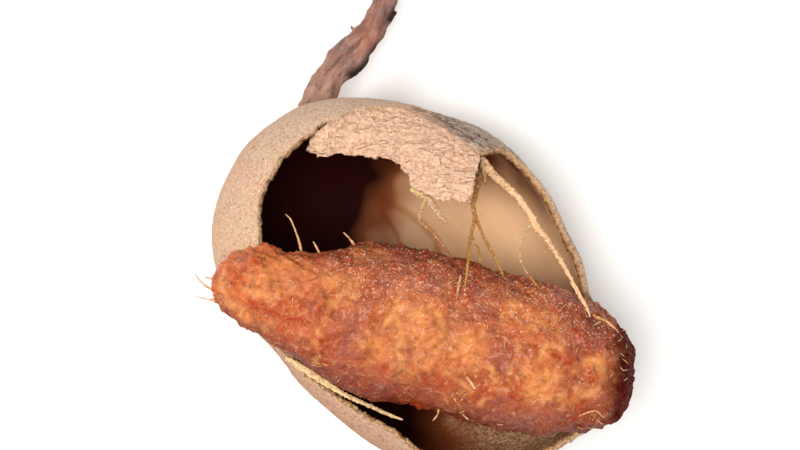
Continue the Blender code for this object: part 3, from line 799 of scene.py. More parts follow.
def husk_sheet(husk):
    """The husk's outside, smooth and without thickness, with the flap on its hinge."""
    reach = []
    edge = []
    for column in range(husk.columns + 1):
        angle = column * 360.0 / husk.columns
        reach.append(around(OUTLINE, angle))
        hinged = smooth_step(HINGE_FROM - 6.0, HINGE_FROM, angle)
        hinged *= smooth_step(HINGE_TO + 4.0, HINGE_TO, angle)
        turn = math.radians(angle)
        ring = Vector((math.cos(turn), math.sin(turn), 0.0))
        ragged = noise.noise(ring * 9.0) + 0.6 * noise.noise(ring * 27.0) + 0.8 * noise.noise(ring * 60.0)
        edge.append(around(BROKEN_EDGE, angle) + EDGE_RAGGED * ragged * (1.0 - hinged))

    def bowl(column, row):
        share = (row / husk.rows) ** ROW_CROWDING
        latitude = edge[column] + (-90.0 - edge[column]) * share
        if row == husk.rows:
            return Vector((HUSK_CENTRE.x, HUSK_CENTRE.y, FLAT_CUT - BACK_DEPTH))
        return dome_point(reach[column], column * 360.0 / husk.columns, latitude)

    bm = grid_mesh(husk.columns, husk.rows, bowl)
    first = round(HINGE_FROM / 360.0 * husk.columns)
    last = round(HINGE_TO / 360.0 * husk.columns)
    span = last - first

    def flap(column, row):
        hinge = bowl(first + column, 0)
        share = row / husk.flap_rows
        torn = point_along(FLAP_EDGE, column / span)
        torn.y += FLAP_RAGGED * (noise.noise(torn * 1.3) + 0.8 * noise.noise(torn * 3.0))
        point = hinge.lerp(torn, share)
        point.z += FLAP_BULGE * math.sin(math.pi * share)
        left = smooth_step(0.8, 1.0, column / span)
        right = smooth_step(0.15, 0.0, column / span)
        point += Vector((-0.4, 0.25, 0.0)) * left * math.sin(math.pi * share)
        ragged = noise.noise(point * 1.6) + 0.8 * noise.noise(point * 3.4)
        point.x += FLAP_RAGGED * max(left, right) * share * ragged
        return point

    piece = grid_mesh(span, husk.flap_rows, flap)
    for face in piece.faces:
        face.material_index = 1
    spare = bpy.data.meshes.new("flap_sheet")
    piece.to_mesh(spare)
    piece.free()
    bm.from_mesh(spare)
    bpy.data.meshes.remove(spare)
    bmesh.ops.remove_doubles(bm, verts=bm.verts[:], dist=0.0005)
    bmesh.ops.dissolve_degenerate(bm, edges=bm.edges[:], dist=0.0001)
    loose = [edge for edge in bm.edges if all(face.material_index == 1 for face in edge.link_faces)]
    bmesh.ops.subdivide_edges(bm, edges=loose, cuts=1, use_grid_fill=True)
    bmesh.ops.recalc_face_normals(bm, faces=bm.faces[:])
    lowest = min(bm.faces, key=lambda face: face.calc_center_median().z)
    if lowest.normal.z > 0.0:
        bmesh.ops.reverse_faces(bm, faces=bm.faces[:])
    return bm


def crumble(point, away):
    """How far the husk has crumbled at its broken edge."""
    shift = noise.noise_vector(point * 1.5) * 0.1 + noise.noise_vector(point * 3.1) * 0.13
    return shift * smooth_step(0.5, 0.0, away)


def add_wall(bm, husk):
    """Give the sheet its thickness, and mark where each point of the wall lies."""
    bm.normal_update()
    outward = bm.verts.layers.float_vector.new("outward")
    depth = bm.verts.layers.float.new("depth")
    flap = bm.verts.layers.float.new("flap")
    away = bm.verts.layers.float.new("away")
    rim = [vertex.co.copy() for vertex in bm.verts if vertex.is_boundary]
    tree = kdtree.KDTree(len(rim))
    for i, place in enumerate(rim):
        tree.insert(place, i)
    tree.balance()
    wall = husk.wall / MM
    for vertex in bm.verts:
        to_edge = tree.find(vertex.co)[2]
        vertex[away] = to_edge
        kept = 1.0 - EDGE_THINNING * smooth_step(EDGE_THINNING_WIDTH, 0.0, to_edge)
        vertex[outward] = vertex.normal * wall * kept
        vertex[flap] = 1.0 if any(face.material_index == 1 for face in vertex.link_faces) else 0.0
        if vertex[flap]:
            vertex[outward] *= 1.0 - FLAP_THINNING * smooth_step(FLAP_THINNING_WIDTH, 0.0, to_edge)
    doubled = bmesh.ops.extrude_face_region(bm, geom=bm.faces[:], use_keep_orig=True)
    for vertex in (item for item in doubled["geom"] if isinstance(item, bmesh.types.BMVert)):
        vertex.co -= vertex[outward]
        vertex[depth] = 1.0
    across = [edge for edge in bm.edges if abs(edge.verts[0][depth] - edge.verts[1][depth]) > 0.5]
    bmesh.ops.subdivide_edges(bm, edges=across, cuts=WALL_CUTS, use_grid_fill=True)
    bmesh.ops.recalc_face_normals(bm, faces=bm.faces[:])


def carve_wall(bm, husk):
    """Give the wall its tints, its relief and its crumbling edge, and each face its finish."""
    tint = bm.verts.layers.float_color.new("tint")
    seam = bm.verts.layers.float.new("seam")
    outward = bm.verts.layers.float_vector["outward"]
    depth = bm.verts.layers.float["depth"]
    flap = bm.verts.layers.float["flap"]
    away = bm.verts.layers.float["away"]
    relief = husk.relief / MM
    for vertex in bm.verts:
        out = vertex[outward].normalized()
        if vertex[depth] > 0.5:
            vertex[tint] = lining_tint(vertex.co)
        else:
            vertex[tint] = skin_tint(vertex.co, vertex[flap], vertex[away])
            if vertex.co.z > 0.0:
                vertex[seam] = near_line(vertex.co, HINGE_SEAM, SEAM_WIDTH)
        shift = crumble(vertex.co, vertex[away])
        if vertex[depth] == 1.0:
            shift -= out * VEIN_HEIGHT * vertex[tint][3] * (1.0 - vertex[flap])
        elif vertex[depth] > 0.0:
            shift += noise.noise_vector(vertex.co * 4.0) * EDGE_GRIT
        elif vertex.co.z > FLAT_CUT - BACK_DEPTH + FLAT_MARGIN:
            shift += out * relief * skin_relief(vertex.co, vertex[tint][0])
        vertex.co += shift
    for face in bm.faces:
        depths = [vertex[depth] for vertex in face.verts]
        if max(depths) == 0.0:
            face.material_index = 0
        elif min(depths) == 1.0:
            face.material_index = 1
        else:
            face.material_index = 2


class POD_OT_husk(bpy.types.Operator):
    """Build the broken husk with its flap"""

    bl_idname = "pod.husk"
    bl_label = "Husk"

    def execute(self, context):
        husk = context.scene.pod_husk
        bm = husk_sheet(husk)
        add_wall(bm, husk)
        carve_wall(bm, husk)
        finishes = (husk_skin(husk), husk_lining(husk), husk_broken_edge(husk))
        finish_piece(bm, "husk", finishes, ("shell",))
        return {"FINISHED"}


def pulp_section(x):
    """Middle Y, half width, middle Z and half depth of the pulp at a place along X."""
    last = len(PULP_SECTIONS) - 1
    i = 0
    while i < last - 1 and x > PULP_SECTIONS[i + 1][0]:
        i += 1
    fraction = (x - PULP_SECTIONS[i][0]) / (PULP_SECTIONS[i + 1][0] - PULP_SECTIONS[i][0])
    fraction = min(max(fraction, 0.0), 1.0)
    values = []
    for k in (1, 2, 3, 4):
        power = 2.0 if k in (2, 4) else 1.0
        knots = [(PULP_SECTIONS[j][0], PULP_SECTIONS[j][k] ** power)
                 for j in (max(i - 1, 0), i, i + 1, min(i + 2, last))]
        if i == 0 or i + 2 > last:
            value = knots[1][1] + (knots[2][1] - knots[1][1]) * fraction
        else:
            value = hermite(*knots, fraction)
        values.append(max(value, 0.0) ** 0.5 if power == 2.0 else value)
    return values


def pulp_surface(x, turn):
    """Point of the pulp's lumpy form, before its fine relief."""
    y, half_width, z, half_depth = pulp_section(x)
    spoke = Vector((0.0, half_width * math.cos(turn), half_depth * math.sin(turn)))
    middle = Vector((x, y, z))
    lump = 1.0 + PULP_LUMP * noise.noise((middle + spoke) * PULP_LUMPS_PER_MM) / max(half_width, 2.0)
    return middle + spoke * lump


def crease_depth(point):
    """How deep the furrows cut into the pulp at a point."""
    total = 0.0
    for start, end, width, depth in PULP_CREASES:
        a = Vector(start)
        b = Vector(end)
        p = Vector((point.x + 0.5 * noise.noise(point * 0.8), point.y))
        share = min(max((p - a).dot(b - a) / (b - a).length_squared, 0.0), 1.0)
        away = (p - a.lerp(b, share)).length / width
        total += depth * math.exp(-away * away) * math.sin(math.pi * (0.15 + 0.7 * share))
    return total


def pulp_marks(point):
    """Shares of ridge, cleft, bloom and painted low shade over the pulp."""
    y, half_width, z, half_depth = pulp_section(point.x)
    height = (point.y - y) / max(half_width, 0.5)
    # Painted shade along the pulp's lower side, and in full all over its underneath.
    low = smooth_step(-0.35, -0.95, height) * smooth_step(-15.0, -9.0, point.x)
    if point.z < 3.0:
        return (0.0, 0.0, 0.3, 1.0)
    shaken = point + noise.noise_vector(point * 1.1) * 0.35
    ridge = max(near_line(shaken, line, RIDGE_WIDTH) for line in PULP_RIDGES)
    cleft = max(near_line(shaken, line, width) for line, width in PULP_CLEFTS)
    cleft = max(cleft, 0.7 * patches(shaken, WET_PATCHES))
    stirred = point + noise.noise_vector(point * 0.6) * 1.1
    drift = smooth_step(-0.1, 0.5, noise.noise(point * 0.42 + Vector((7.0, 3.0, 1.0))))
    bloom = max(0.45 * drift, patches(stirred, DULL_PATCHES))
    return (ridge * (0.6 + 0.5 * noise.noise(point * 1.7)), cleft, bloom, low)


def pulp_relief(point, grain, marks):
    """Lumps, wrinkles, ridges and clefts of the pulp."""
    lumps = 0.3 * noise.noise(point * 0.6) + 0.24 * noise.noise(point * 1.15)
    lumps += 0.15 * noise.noise(point * 2.1)
    stretched = Vector((point.x * 0.55 + point.y * 0.35, point.y * 2.1 - point.x * 0.9, point.z * 1.6))
    lobe = smooth_step(-6.0, -8.5, point.x)
    wrinkle = (1.0 - 2.0 * abs(noise.noise(stretched * 0.9))) * (0.02 + 0.08 * lobe)
    fine = grain * (1.4 * noise.noise(point * 3.2) + noise.noise(point * 5.5))
    placed = RIDGE_HEIGHT * marks[0] - CLEFT_DEPTH * marks[1] - crease_depth(point)
    return lumps + wrinkle + fine * (1.0 - 0.4 * lobe) + placed


def pulp_tint(point):
    """Shares of dark dried pulp with painted shade, of clear amber with a painted highlight, of the orange
    lobe and of painted sparkle over the pulp.
    """
    y, half_width, z, half_depth = pulp_section(point.x)
    height = (point.y - y) / max(half_width, 0.5)
    wander = 0.5 + 0.5 * noise.noise(point * 0.5)
    top = smooth_step(0.45, 0.95, height) * smooth_step(-7.0, -2.0, point.x)
    top *= smooth_step(11.0, 3.5, point.x)
    top = max(top, 0.6 * smooth_step(0.7, 0.98, height) * smooth_step(-14.0, -8.0, point.x))
    far = smooth_step(13.0, 16.0, point.x) * smooth_step(0.3, 0.8, height)
    low = 0.5 * smooth_step(-0.75, -1.0, height)
    end = smooth_step(17.4, 19.6, point.x - 0.3 * height)
    under = smooth_step(3.5, -1.0, point.z)
    # Dark blotches along the top edge and far side are dried pulp; the dark along the lower edge, underneath
    # and at the right end is painted shade.
    dried_and_shade = min(max(top * (0.05 + 0.6 * wander), far * wander, low, end, under), 1.0)
    amber = 0.0
    if point.z > z:
        stirred = point + noise.noise_vector(point * 0.6 + Vector((5.0, 2.0, 0.0))) * 1.1
        # A broad painted highlight lightens the middle of the pulp's top, over the amber patches.
        amber = max(0.85 * patches(stirred, AMBER_PATCHES), 0.4 * blob(point, (2.5, -4.0, 10.8), 5.0))
    lobe = max(smooth_step(-4.5, -9.0, point.x) * (1.0 - 0.7 * smooth_step(-0.1, -0.9, height)), 0.0)
    # Where the painted glints go: mostly over the top of the pulp, none at the right end.
    sparkle = (0.2 + 0.8 * smooth_step(-0.1, 0.7, height) * smooth_step(-9.0, -4.0, point.x)) * (1.0 - end)
    return (dried_and_shade, min(amber * (0.6 + 0.6 * wander), 1.0), lobe, sparkle)


def pulp_flesh(pulp):
    """Tamarind pulp: sticky fruit paste, clear amber where thin and purple where it has dried, with painted
    shade along its edges and underneath.

    Its white specks are sugar crystals with painted glints; the crystals are nearer 0.1 mm across: 0.2 mm is
    the finest grain that shows.
    """
    material, shader, place = start_material("sticky_grainy_pulp")
    tint = add(material, "ShaderNodeAttribute", attribute_name="tint")
    dried_and_shade, amber, lobe = add(material, "ShaderNodeSeparateColor", {"Color": tint.outputs["Color"]}).outputs
    marks = add(material, "ShaderNodeAttribute", attribute_name="marks")
    ridge, cleft, bloom = add(material, "ShaderNodeSeparateColor", {"Color": marks.outputs["Color"]}).outputs
    cloud = add(material, "ShaderNodeTexNoise", {"Vector": place, "Scale": per_metre(3.0), "Detail": 6.0,
                                                 "Roughness": 0.66, "Distortion": 0.3})
    mottle = add(material, "ShaderNodeTexNoise", {"Vector": place, "Scale": per_metre(1.4), "Detail": 4.0,
                                                  "Roughness": 0.62, "Distortion": 0.6})
    crumb = add(material, "ShaderNodeTexNoise", {"Vector": place, "Scale": per_metre(0.6), "Detail": 3.0,
                                                 "Roughness": 0.65, "Distortion": 0.3})
    grain = add(material, "ShaderNodeTexNoise", {"Vector": place, "Scale": per_metre(0.2), "Detail": 2.0,
                                                 "Roughness": 0.7})
    fibre_way = add(material, "ShaderNodeMapping", {"Vector": place, "Rotation": (0.0, 0.0, 0.6),
                                                    "Scale": (2.2, 0.9, 0.9)}, vector_type="TEXTURE")
    fibres = add(material, "ShaderNodeTexNoise", {"Vector": fibre_way, "Scale": per_metre(1.3),
                                                  "Detail": 3.0, "Roughness": 0.6, "Distortion": 0.8})
    body = add(material, "ShaderNodeValToRGB", {"Fac": cloud},
               stops=((0.36, "#863317"), (0.46, "#A44923"), (0.54, "#BA6130"), (0.64, "#D0854C")))
    lit = add(material, "ShaderNodeMath", {0: mottle, 1: 0.45}, operation="ADD")
    # Clear amber flesh, with a painted highlight over the middle of the pulp.
    amber_and_highlight = add(material, "ShaderNodeMath", {0: amber, 1: lit}, operation="MULTIPLY")
    warm = add(material, "ShaderNodeMath", {0: cloud, 1: 0.2}, operation="ADD")
    fire = add(material, "ShaderNodeMath", {0: lobe, 1: warm}, operation="MULTIPLY")
    embers = add(material, "ShaderNodeValToRGB", {"Fac": mottle}, stops=((0.56, 0.0), (0.66, 0.5)))
    haze = add(material, "ShaderNodeValToRGB", {"Fac": fibres}, stops=((0.38, 0.35), (0.56, 0.95)))
    veil = add(material, "ShaderNodeMath", {0: haze, 1: bloom}, operation="MULTIPLY")
    dusk = add(material, "ShaderNodeValToRGB", {"Fac": mottle}, stops=((0.34, 0.6), (0.44, 0.0)))
    hollows = add(material, "ShaderNodeValToRGB", {"Fac": crumb}, stops=((0.34, 0.45), (0.46, 0.0)))
    tops = add(material, "ShaderNodeValToRGB", {"Fac": crumb}, stops=((0.55, 0.0), (0.66, 0.35)))
    # Painted shade along the pulp's lower side and underneath.
    low = add(material, "ShaderNodeMath", {0: marks.outputs["Alpha"], 1: 0.7}, operation="MULTIPLY")
    dry_and_shade_layer = add(material, "ShaderNodeMath", {0: dried_and_shade, 1: lit}, operation="MULTIPLY", use_clamp=True)
    # Painted glints: near-white specks on the fine grain, mostly along the top, with sugar crystals among
    # them.
    frost_and_glints = add(material, "ShaderNodeValToRGB", {"Fac": grain}, stops=((0.58, 0.0), (0.66, 0.8)))
    sugar_and_glints = add(material, "ShaderNodeMath", {0: frost_and_glints, 1: tint.outputs["Alpha"]}, operation="MULTIPLY")
    base = layered(material, body, (
        (fire, "#D07038"), (embers, pulp.orange), (dusk, pulp.maroon), (amber_and_highlight, "#DF8F4E"), (veil, pulp.bloom),
        (low, "#7C311B"), (ridge, pulp.amber), (cleft, "#A63A10"), (hollows, "#7E301A"), (tops, "#E0A274"),
        (dry_and_shade_layer, pulp.dried_and_shade), (sugar_and_glints, "#EBC9B2"),
    ))
    wet = add(material, "ShaderNodeValToRGB", {"Fac": grain}, stops=((0.5, 0.55), (0.64, 0.25)))
    soft = add(material, "ShaderNodeBump", {"Height": fibres, "Distance": 0.4 * MM, "Strength": 0.5})
    lumpy = add(material, "ShaderNodeBump", {"Height": crumb, "Distance": 0.18 * MM, "Strength": 0.8,
                                             "Normal": soft})
    rough = add(material, "ShaderNodeBump", {"Height": grain, "Distance": 0.07 * MM, "Strength": 0.8,
                                             "Normal": lumpy})
    shine = add(material, "ShaderNodeMath", {0: dried_and_shade, 1: -0.11, 2: 0.14}, operation="MULTIPLY_ADD",
                use_clamp=True)
    feed(material, shader, {
        "Base Color": base, "Roughness": wet, "Normal": rough, "Specular IOR Level": shine,
        "Subsurface Weight": 0.3, "Subsurface Radius": (1.0, 0.35, 0.14), "Subsurface Scale": 0.5 * MM,
        "Coat Weight": shine, "Coat Roughness": 0.14,
    })
    return material


class POD_OT_pulp(bpy.types.Operator):
    """Build the lumpy pulp"""

    bl_idname = "pod.pulp"
    bl_label = "Pulp"

    def execute(self, context):
        pulp = context.scene.pod_pulp
        low = PULP_SECTIONS[0][0]
        high = PULP_SECTIONS[-1][0]
        bm = bmesh.new()
        bmesh.ops.create_uvsphere(bm, u_segments=pulp.sides, v_segments=pulp.rings, radius=1.0)
        for vertex in bm.verts:
            x = low + (high - low) * 0.5 * (1.0 + vertex.co.z)
            vertex.co = pulp_surface(x, math.atan2(vertex.co.y, vertex.co.x))
        bmesh.ops.recalc_face_normals(bm, faces=bm.faces[:])
        tint = bm.verts.layers.float_color.new("tint")
        marks = bm.verts.layers.float_color.new("marks")
        bm.normal_update()
        for vertex in bm.verts:
            vertex[tint] = pulp_tint(vertex.co)
            vertex[marks] = pulp_marks(vertex.co)
        grain = pulp.grain / MM
        moves = [vertex.normal * pulp_relief(vertex.co, grain, vertex[marks]) for vertex in bm.verts]
        for vertex, move in zip(bm.verts, moves):
            vertex.co += move
        finish_piece(bm, "pulp_body", (pulp_flesh(pulp),), ("pulp",))
        return {"FINISHED"}


def spline(line, fraction):
    """Smooth values along a line of points, fraction from 0 to 1."""
    place = fraction * (len(line) - 1)
    i = min(int(place), len(line) - 2)
    local = place - i
    knots = [line[max(i - 1, 0)], line[i], line[i + 1], line[min(i + 2, len(line) - 1)]]
    values = []
    for axis in range(len(line[0])):
        a, b, c, d = (knot[axis] for knot in knots)
        values.append(
            0.5 * (2.0 * b + (c - a) * local + (2.0 * a - 5.0 * b + 4.0 * c - d) * local ** 2
                   + (3.0 * b - a - 3.0 * c + d) * local ** 3)
        )
    return values


def add_tube(bm, line, rings, sides, bark=None):
    """Bend a straight tube along a line of (x, y, z, radius).

    bark(point, turn, along) gives what the bark adds to the radius at a place.
    """
    along = bm.verts.layers.float.get("along") or bm.verts.layers.float.new("along")
    made = bmesh.ops.create_cone(bm, cap_ends=True, segments=sides, radius1=1.0, radius2=1.0, depth=1.0)
    edges = dict.fromkeys(edge for vertex in made["verts"] for edge in vertex.link_edges)
    long_edges = [edge for edge in edges if abs(edge.verts[0].co.z - edge.verts[1].co.z) > 0.5]
    cut = bmesh.ops.subdivide_edges(bm, edges=long_edges, cuts=rings - 2)
    inner = [item for item in cut["geom_inner"] if isinstance(item, bmesh.types.BMVert)]
    faces = [face for vertex in inner for face in vertex.link_faces]
    verts = dict.fromkeys(vertex for face in faces for vertex in face.verts)
    samples = [spline(line, i / (rings - 1)) for i in range(rings)]
    centres = [Vector(sample[:3]) for sample in samples]
    frames = []
    across = Vector((0.31, 0.17, 0.94)).normalized()
    for i in range(rings):
        heading = (centres[min(i + 1, rings - 1)] - centres[max(i - 1, 0)]).normalized()
        across = (across - heading * across.dot(heading)).normalized()
        frames.append((across, heading.cross(across)))
    for vertex in verts:
        i = round((vertex.co.z + 0.5) * (rings - 1))
        turn = math.atan2(vertex.co.y, vertex.co.x)
        spoke = frames[i][0] * math.cos(turn) + frames[i][1] * math.sin(turn)
        radius = samples[i][3]
        share = i / (rings - 1)
        if bark:
            radius += bark(centres[i] + spoke * radius, turn, share)
        vertex.co = centres[i] + spoke * radius
        vertex[along] = share
    return verts


def stalk_bark(point, turn, along):
    """Knobs and twisting lengthwise furrows of the stalk."""
    knob = 0.3 * noise.noise(point * 0.9)
    twist = turn + 3.0 * along
    furrow = -0.16 * abs(noise.noise(Vector((1.9 * math.cos(twist), 1.9 * math.sin(twist), along * 5.0))))
    return knob + furrow + 0.06 * noise.noise(point * 2.4) + 0.02 * noise.noise(point * 6.0)


def stalk_tint(point):
    """Shares of painted deep shade, red bark and pale bark over the stalk."""
    wander = noise.noise(point * 0.8)
    shade = max(near_line(point, line, SHADE_WIDTH) for line in STALK_SHADES)
    red = blob(point, (-3.2, 22.6, -4.6), 1.5) + 0.6 * blob(point, (-3.0, 24.6, -5.0), 0.9) + 0.25 * wander
    pale = smooth_step(23.5, 17.5, point.y) * (0.8 + 0.4 * wander)
    return (min(max(shade, 0.0), 1.0), min(max(red, 0.0), 1.0), min(max(pale, 0.0), 1.0), 1.0)


def stalk_material(stalk):
    """Woody stalk: thin smooth bark drawn into soft furrows, grey-violet with tan and red patches."""
    material, shader, place = start_material("furrowed_bark")
    tint = add(material, "ShaderNodeAttribute", attribute_name="tint")
    shade, red, pale = add(material, "ShaderNodeSeparateColor", {"Color": tint.outputs["Color"]}).outputs
    patch = add(material, "ShaderNodeTexNoise", {"Vector": place, "Scale": per_metre(1.8), "Detail": 3.0})
    grain_way = add(material, "ShaderNodeMapping", {"Vector": place, "Rotation": (0.0, 0.0, 1.05),
                                                    "Scale": (3.4, 1.0, 1.0)}, vector_type="TEXTURE")
    grain = add(material, "ShaderNodeTexNoise", {"Vector": grain_way, "Scale": per_metre(0.9), "Detail": 4.0,
                                                 "Roughness": 0.6, "Distortion": 0.5})
    scurf = add(material, "ShaderNodeTexNoise", {"Vector": place, "Scale": per_metre(0.3), "Detail": 3.0})
    blotch = add(material, "ShaderNodeValToRGB", {"Fac": patch}, stops=((0.4, 0.0), (0.62, 0.5)))
    faded = add(material, "ShaderNodeMath", {0: pale, 1: 0.8}, operation="MULTIPLY")
    rusty = add(material, "ShaderNodeMath", {0: red, 1: 0.5}, operation="MULTIPLY")
    lines = add(material, "ShaderNodeValToRGB", {"Fac": grain}, stops=((0.36, 0.75), (0.5, 0.0)))
    tops = add(material, "ShaderNodeValToRGB", {"Fac": grain}, stops=((0.52, 0.0), (0.66, 0.5)))
    dust = add(material, "ShaderNodeValToRGB", {"Fac": scurf}, stops=((0.54, 0.0), (0.74, 0.25)))
    # The last layer is the painted shadow on the stalk's shaded side.
    base = layered(material, stalk.bark, (
        (blotch, stalk.patch), (faded, "#A8826E"), (rusty, "#B46C46"), (lines, stalk.furrow),
        (tops, "#B59488"), (dust, "#C4AEA2"), (shade, "#221114"),
    ))
    height = add(material, "ShaderNodeMath", {0: scurf, 1: 0.15, 2: grain}, operation="MULTIPLY_ADD")
    bump = add(material, "ShaderNodeBump", {"Height": height, "Distance": 0.4 * MM, "Strength": 0.8})
    feed(material, shader, {
        "Base Color": base, "Roughness": 0.78, "Specular IOR Level": 0.25, "Normal": bump,
    })
    return material


class POD_OT_stalk(bpy.types.Operator):
    """Build the woody stalk"""

    bl_idname = "pod.stalk"
    bl_label = "Stalk"

    def execute(self, context):
        stalk = context.scene.pod_stalk
        bm = bmesh.new()
        tint = bm.verts.layers.float_color.new("tint")
        add_tube(bm, STALK_LINE, stalk.rings, stalk.sides, stalk_bark)
        for line in STALK_SPURS:
            add_tube(bm, line, rings=8, sides=8)
        for vertex in bm.verts:
            vertex[tint] = stalk_tint(vertex.co)
        finish_piece(bm, "woody_stalk", (stalk_material(stalk),), ("stalk",))
        return {"FINISHED"}


def strand_material(name, near, far):
    """Vascular strand: a dry woody fibre bundle, dull and slightly see-through where thin."""
    material, shader, place = start_material(name)
    along = add(material, "ShaderNodeAttribute", attribute_name="along").outputs["Fac"]
    fuzz = add(material, "ShaderNodeTexNoise", {"Vector": place, "Scale": per_metre(0.25), "Detail": 3.0})
    loose = add(material, "ShaderNodeMath", {0: fuzz, 1: 0.6, 2: along}, operation="MULTIPLY_ADD")
    share = add(material, "ShaderNodeMath", {0: loose, 1: 0.3}, operation="SUBTRACT", use_clamp=True)
    dark = add(material, "ShaderNodeValToRGB", {"Fac": fuzz}, stops=((0.34, 0.6), (0.46, 0.0)))
    pale = add(material, "ShaderNodeValToRGB", {"Fac": fuzz}, stops=((0.56, 0.0), (0.68, 0.5)))
    base = layered(material, near, ((share, far), (dark, "#96603A"), (pale, "#F6DDBA")))
    bump = add(material, "ShaderNodeBump", {"Height": fuzz, "Distance": 0.15 * MM, "Strength": 0.9})
    feed(material, shader, {
        "Base Color": base, "Roughness": 0.6, "Specular IOR Level": 0.3, "Normal": bump,
        "Subsurface Weight": 0.2, "Subsurface Radius": (1.0, 0.6, 0.3), "Subsurface Scale": 0.2 * MM,
    })
    return material


def strand_bark(roughness):
    """Bark function of a strand: rough, and fluted by the fibres that are twisted into it."""
    def bark(point, turn, along):
        flutes = math.cos(3.0 * turn + 8.0 * along) + 0.6 * math.cos(5.0 * turn - 11.0 * along)
        rough = 0.8 * noise.noise(point * 2.2) + 1.3 * noise.noise(point * 4.6)
        return roughness * (rough + 0.3 * flutes) * (1.0 - 0.8 * smooth_step(0.75, 1.0, along))
    return bark


def add_spurs(bm, line, count, length, draw):
    """Short torn fibres that stand off a strand."""
    for _ in range(count):
        x, y, z, radius = spline(line, draw.uniform(0.02, 0.75))
        root = Vector((x, y, z))
        aim = Vector((draw.uniform(-1.0, 1.0), draw.uniform(-1.0, 1.0), draw.uniform(-0.3, 1.0)))
        aim = aim.normalized()
        reach = radius + length * draw.uniform(0.3, 1.0)
        tip = root + aim * reach
        middle = root.lerp(tip, 0.6) + Vector((0.0, -0.04, 0.0))
        thick = min(0.55 * radius, SPUR_RADIUS)
        add_tube(bm, ((*root, thick), (*middle, 0.7 * thick), (*tip, SPUR_TIP)), rings=5, sides=6)


class POD_OT_strands(bpy.types.Operator):
    """Build the strands between the husk and the pulp"""

    bl_idname = "pod.strands"
    bl_label = "Strands"

    def execute(self, context):
        strands = context.scene.pod_strands
        draw = random.Random(5)
        finish = {
            "pale": strand_material("pale_fibre_bundle", strands.cream, strands.peach),
            "gold": strand_material("golden_fibre", strands.gold, strands.honey),
            "ochre": strand_material("ochre_fibre", strands.straw, strands.cream),
            "tawny": strand_material("tawny_fibre", strands.straw, strands.amber),
            "pink": strand_material("pinkish_fibre", strands.pink, strands.pink),
        }
        for name, node, lines, finishes, roughness, spurs in STRAND_PIECES:
            bm = bmesh.new()
            for i, line in enumerate(lines):
                rings = STRAND_RINGS_PER_POINT * len(line)
                for vertex in add_tube(bm, line, rings, STRAND_SIDES, strand_bark(roughness)):
                    for face in vertex.link_faces:
                        face.material_index = min(i, 1)
            add_spurs(bm, lines[0], spurs, SPUR_LENGTH, draw)
            finish_piece(bm, name, [finish[word] for word in finishes], (node,))
        return {"FINISHED"}


def on_pulp(x, y, lift):
    """Point on the pulp's upper side at a place seen from above."""
    middle, half_width, z, half_depth = pulp_section(x)
    y = min(max(y, middle - 0.96 * half_width), middle + 0.96 * half_width)
    share = abs(y - middle) / max(half_width, 0.1)
    return Vector((x, y, z + half_depth * math.sqrt(1.0 - share * share) + lift))


def fibre_line(start, draw):
    """Line of a short fibre that lifts off the pulp and bends back towards it."""
    y, half_width, z, half_depth = pulp_section(start.x)
    out = Vector((0.0, (start.y - y) / max(half_width, 1.0) ** 2, (start.z - z) / max(half_depth, 1.0) ** 2))
    out = out.normalized()
    side = Vector((draw.uniform(-1.0, 1.0), draw.uniform(-1.0, 1.0), 0.0))
    side = (side - out * side.dot(out)).normalized() * draw.uniform(*FIBRE_LENGTH)
    rise = draw.uniform(*FIBRE_RISE)
    thick = draw.uniform(*FIBRE_RADIUS)
    return (
        (*start, thick),
        (*(start + side * 0.4 + out * rise), thick),
        (*(start + side * 0.8 + out * rise), 0.8 * thick),
        (*(start + side + out * rise * 0.6), 0.4 * thick),
    )


class POD_OT_fibres(bpy.types.Operator):
    """Grow the short pale fibres and the longer hairs of the pulp"""

    bl_idname = "pod.fibres"
    bl_label = "Pulp fibres"

    def execute(self, context):
        pulp = context.scene.pod_pulp
        strands = context.scene.pod_strands
        draw = random.Random(11)
        bm = bmesh.new()
        for line in PULP_HAIRS:
            last = len(line) - 1
            hair = [(*point, HAIR_RADIUS - HAIR_TAPER * (i / last) ** 2) for i, point in enumerate(line)]
            add_tube(bm, hair, rings=28, sides=8, bark=strand_bark(0.05))
        for line in PULP_LINES:
            laid = [(*on_pulp(x, y, LINE_LIFT), radius) for x, y, radius in line]
            add_tube(bm, laid, rings=8 * len(line), sides=8, bark=strand_bark(0.04))
        spots = [(draw.uniform(*FIBRE_REACH), draw.uniform(-1.0, 1.0)) for _ in range(pulp.fibres)]
        starts = [on_pulp(x, pulp_section(x)[0] + pulp_section(x)[1] * side, 0.0) for x, side in spots]
        for x, y, spread, count in PULP_TUFTS:
            for _ in range(count):
                right = draw.gauss(0.0, TUFT_SPREAD) * spread
                up = draw.gauss(0.0, TUFT_SPREAD) * spread
                starts.append(on_pulp(x + right, y + up, 0.0))
        for start in starts:
            add_tube(bm, fibre_line(start, draw), rings=6, sides=4)
        finish = strand_material("pulp_fibre", strands.thread, strands.peach)
        finish_piece(bm, "pulp_fibres", (finish,))
        return {"FINISHED"}


def to_part(point):
    """Pod millimetres to metres in the part's frame."""
    return (Vector(point) + PART_OFFSET) * MM


def add_light(name, power, stand, size, tone):
    """Round soft light that stands off the middle of the pod and points at it."""
    light = bpy.data.lights.new(name, "AREA")
    light.shape = "DISK"
    light.size = size
    light.energy = power
    light.color = linear(tone)
    lamp = bpy.data.objects.new(name, light)
    bpy.context.scene.collection.objects.link(lamp)
    lamp.location = to_part(LIT_POINT) + stand
    lamp.rotation_euler = (-stand).to_track_quat("-Z", "Y").to_euler()


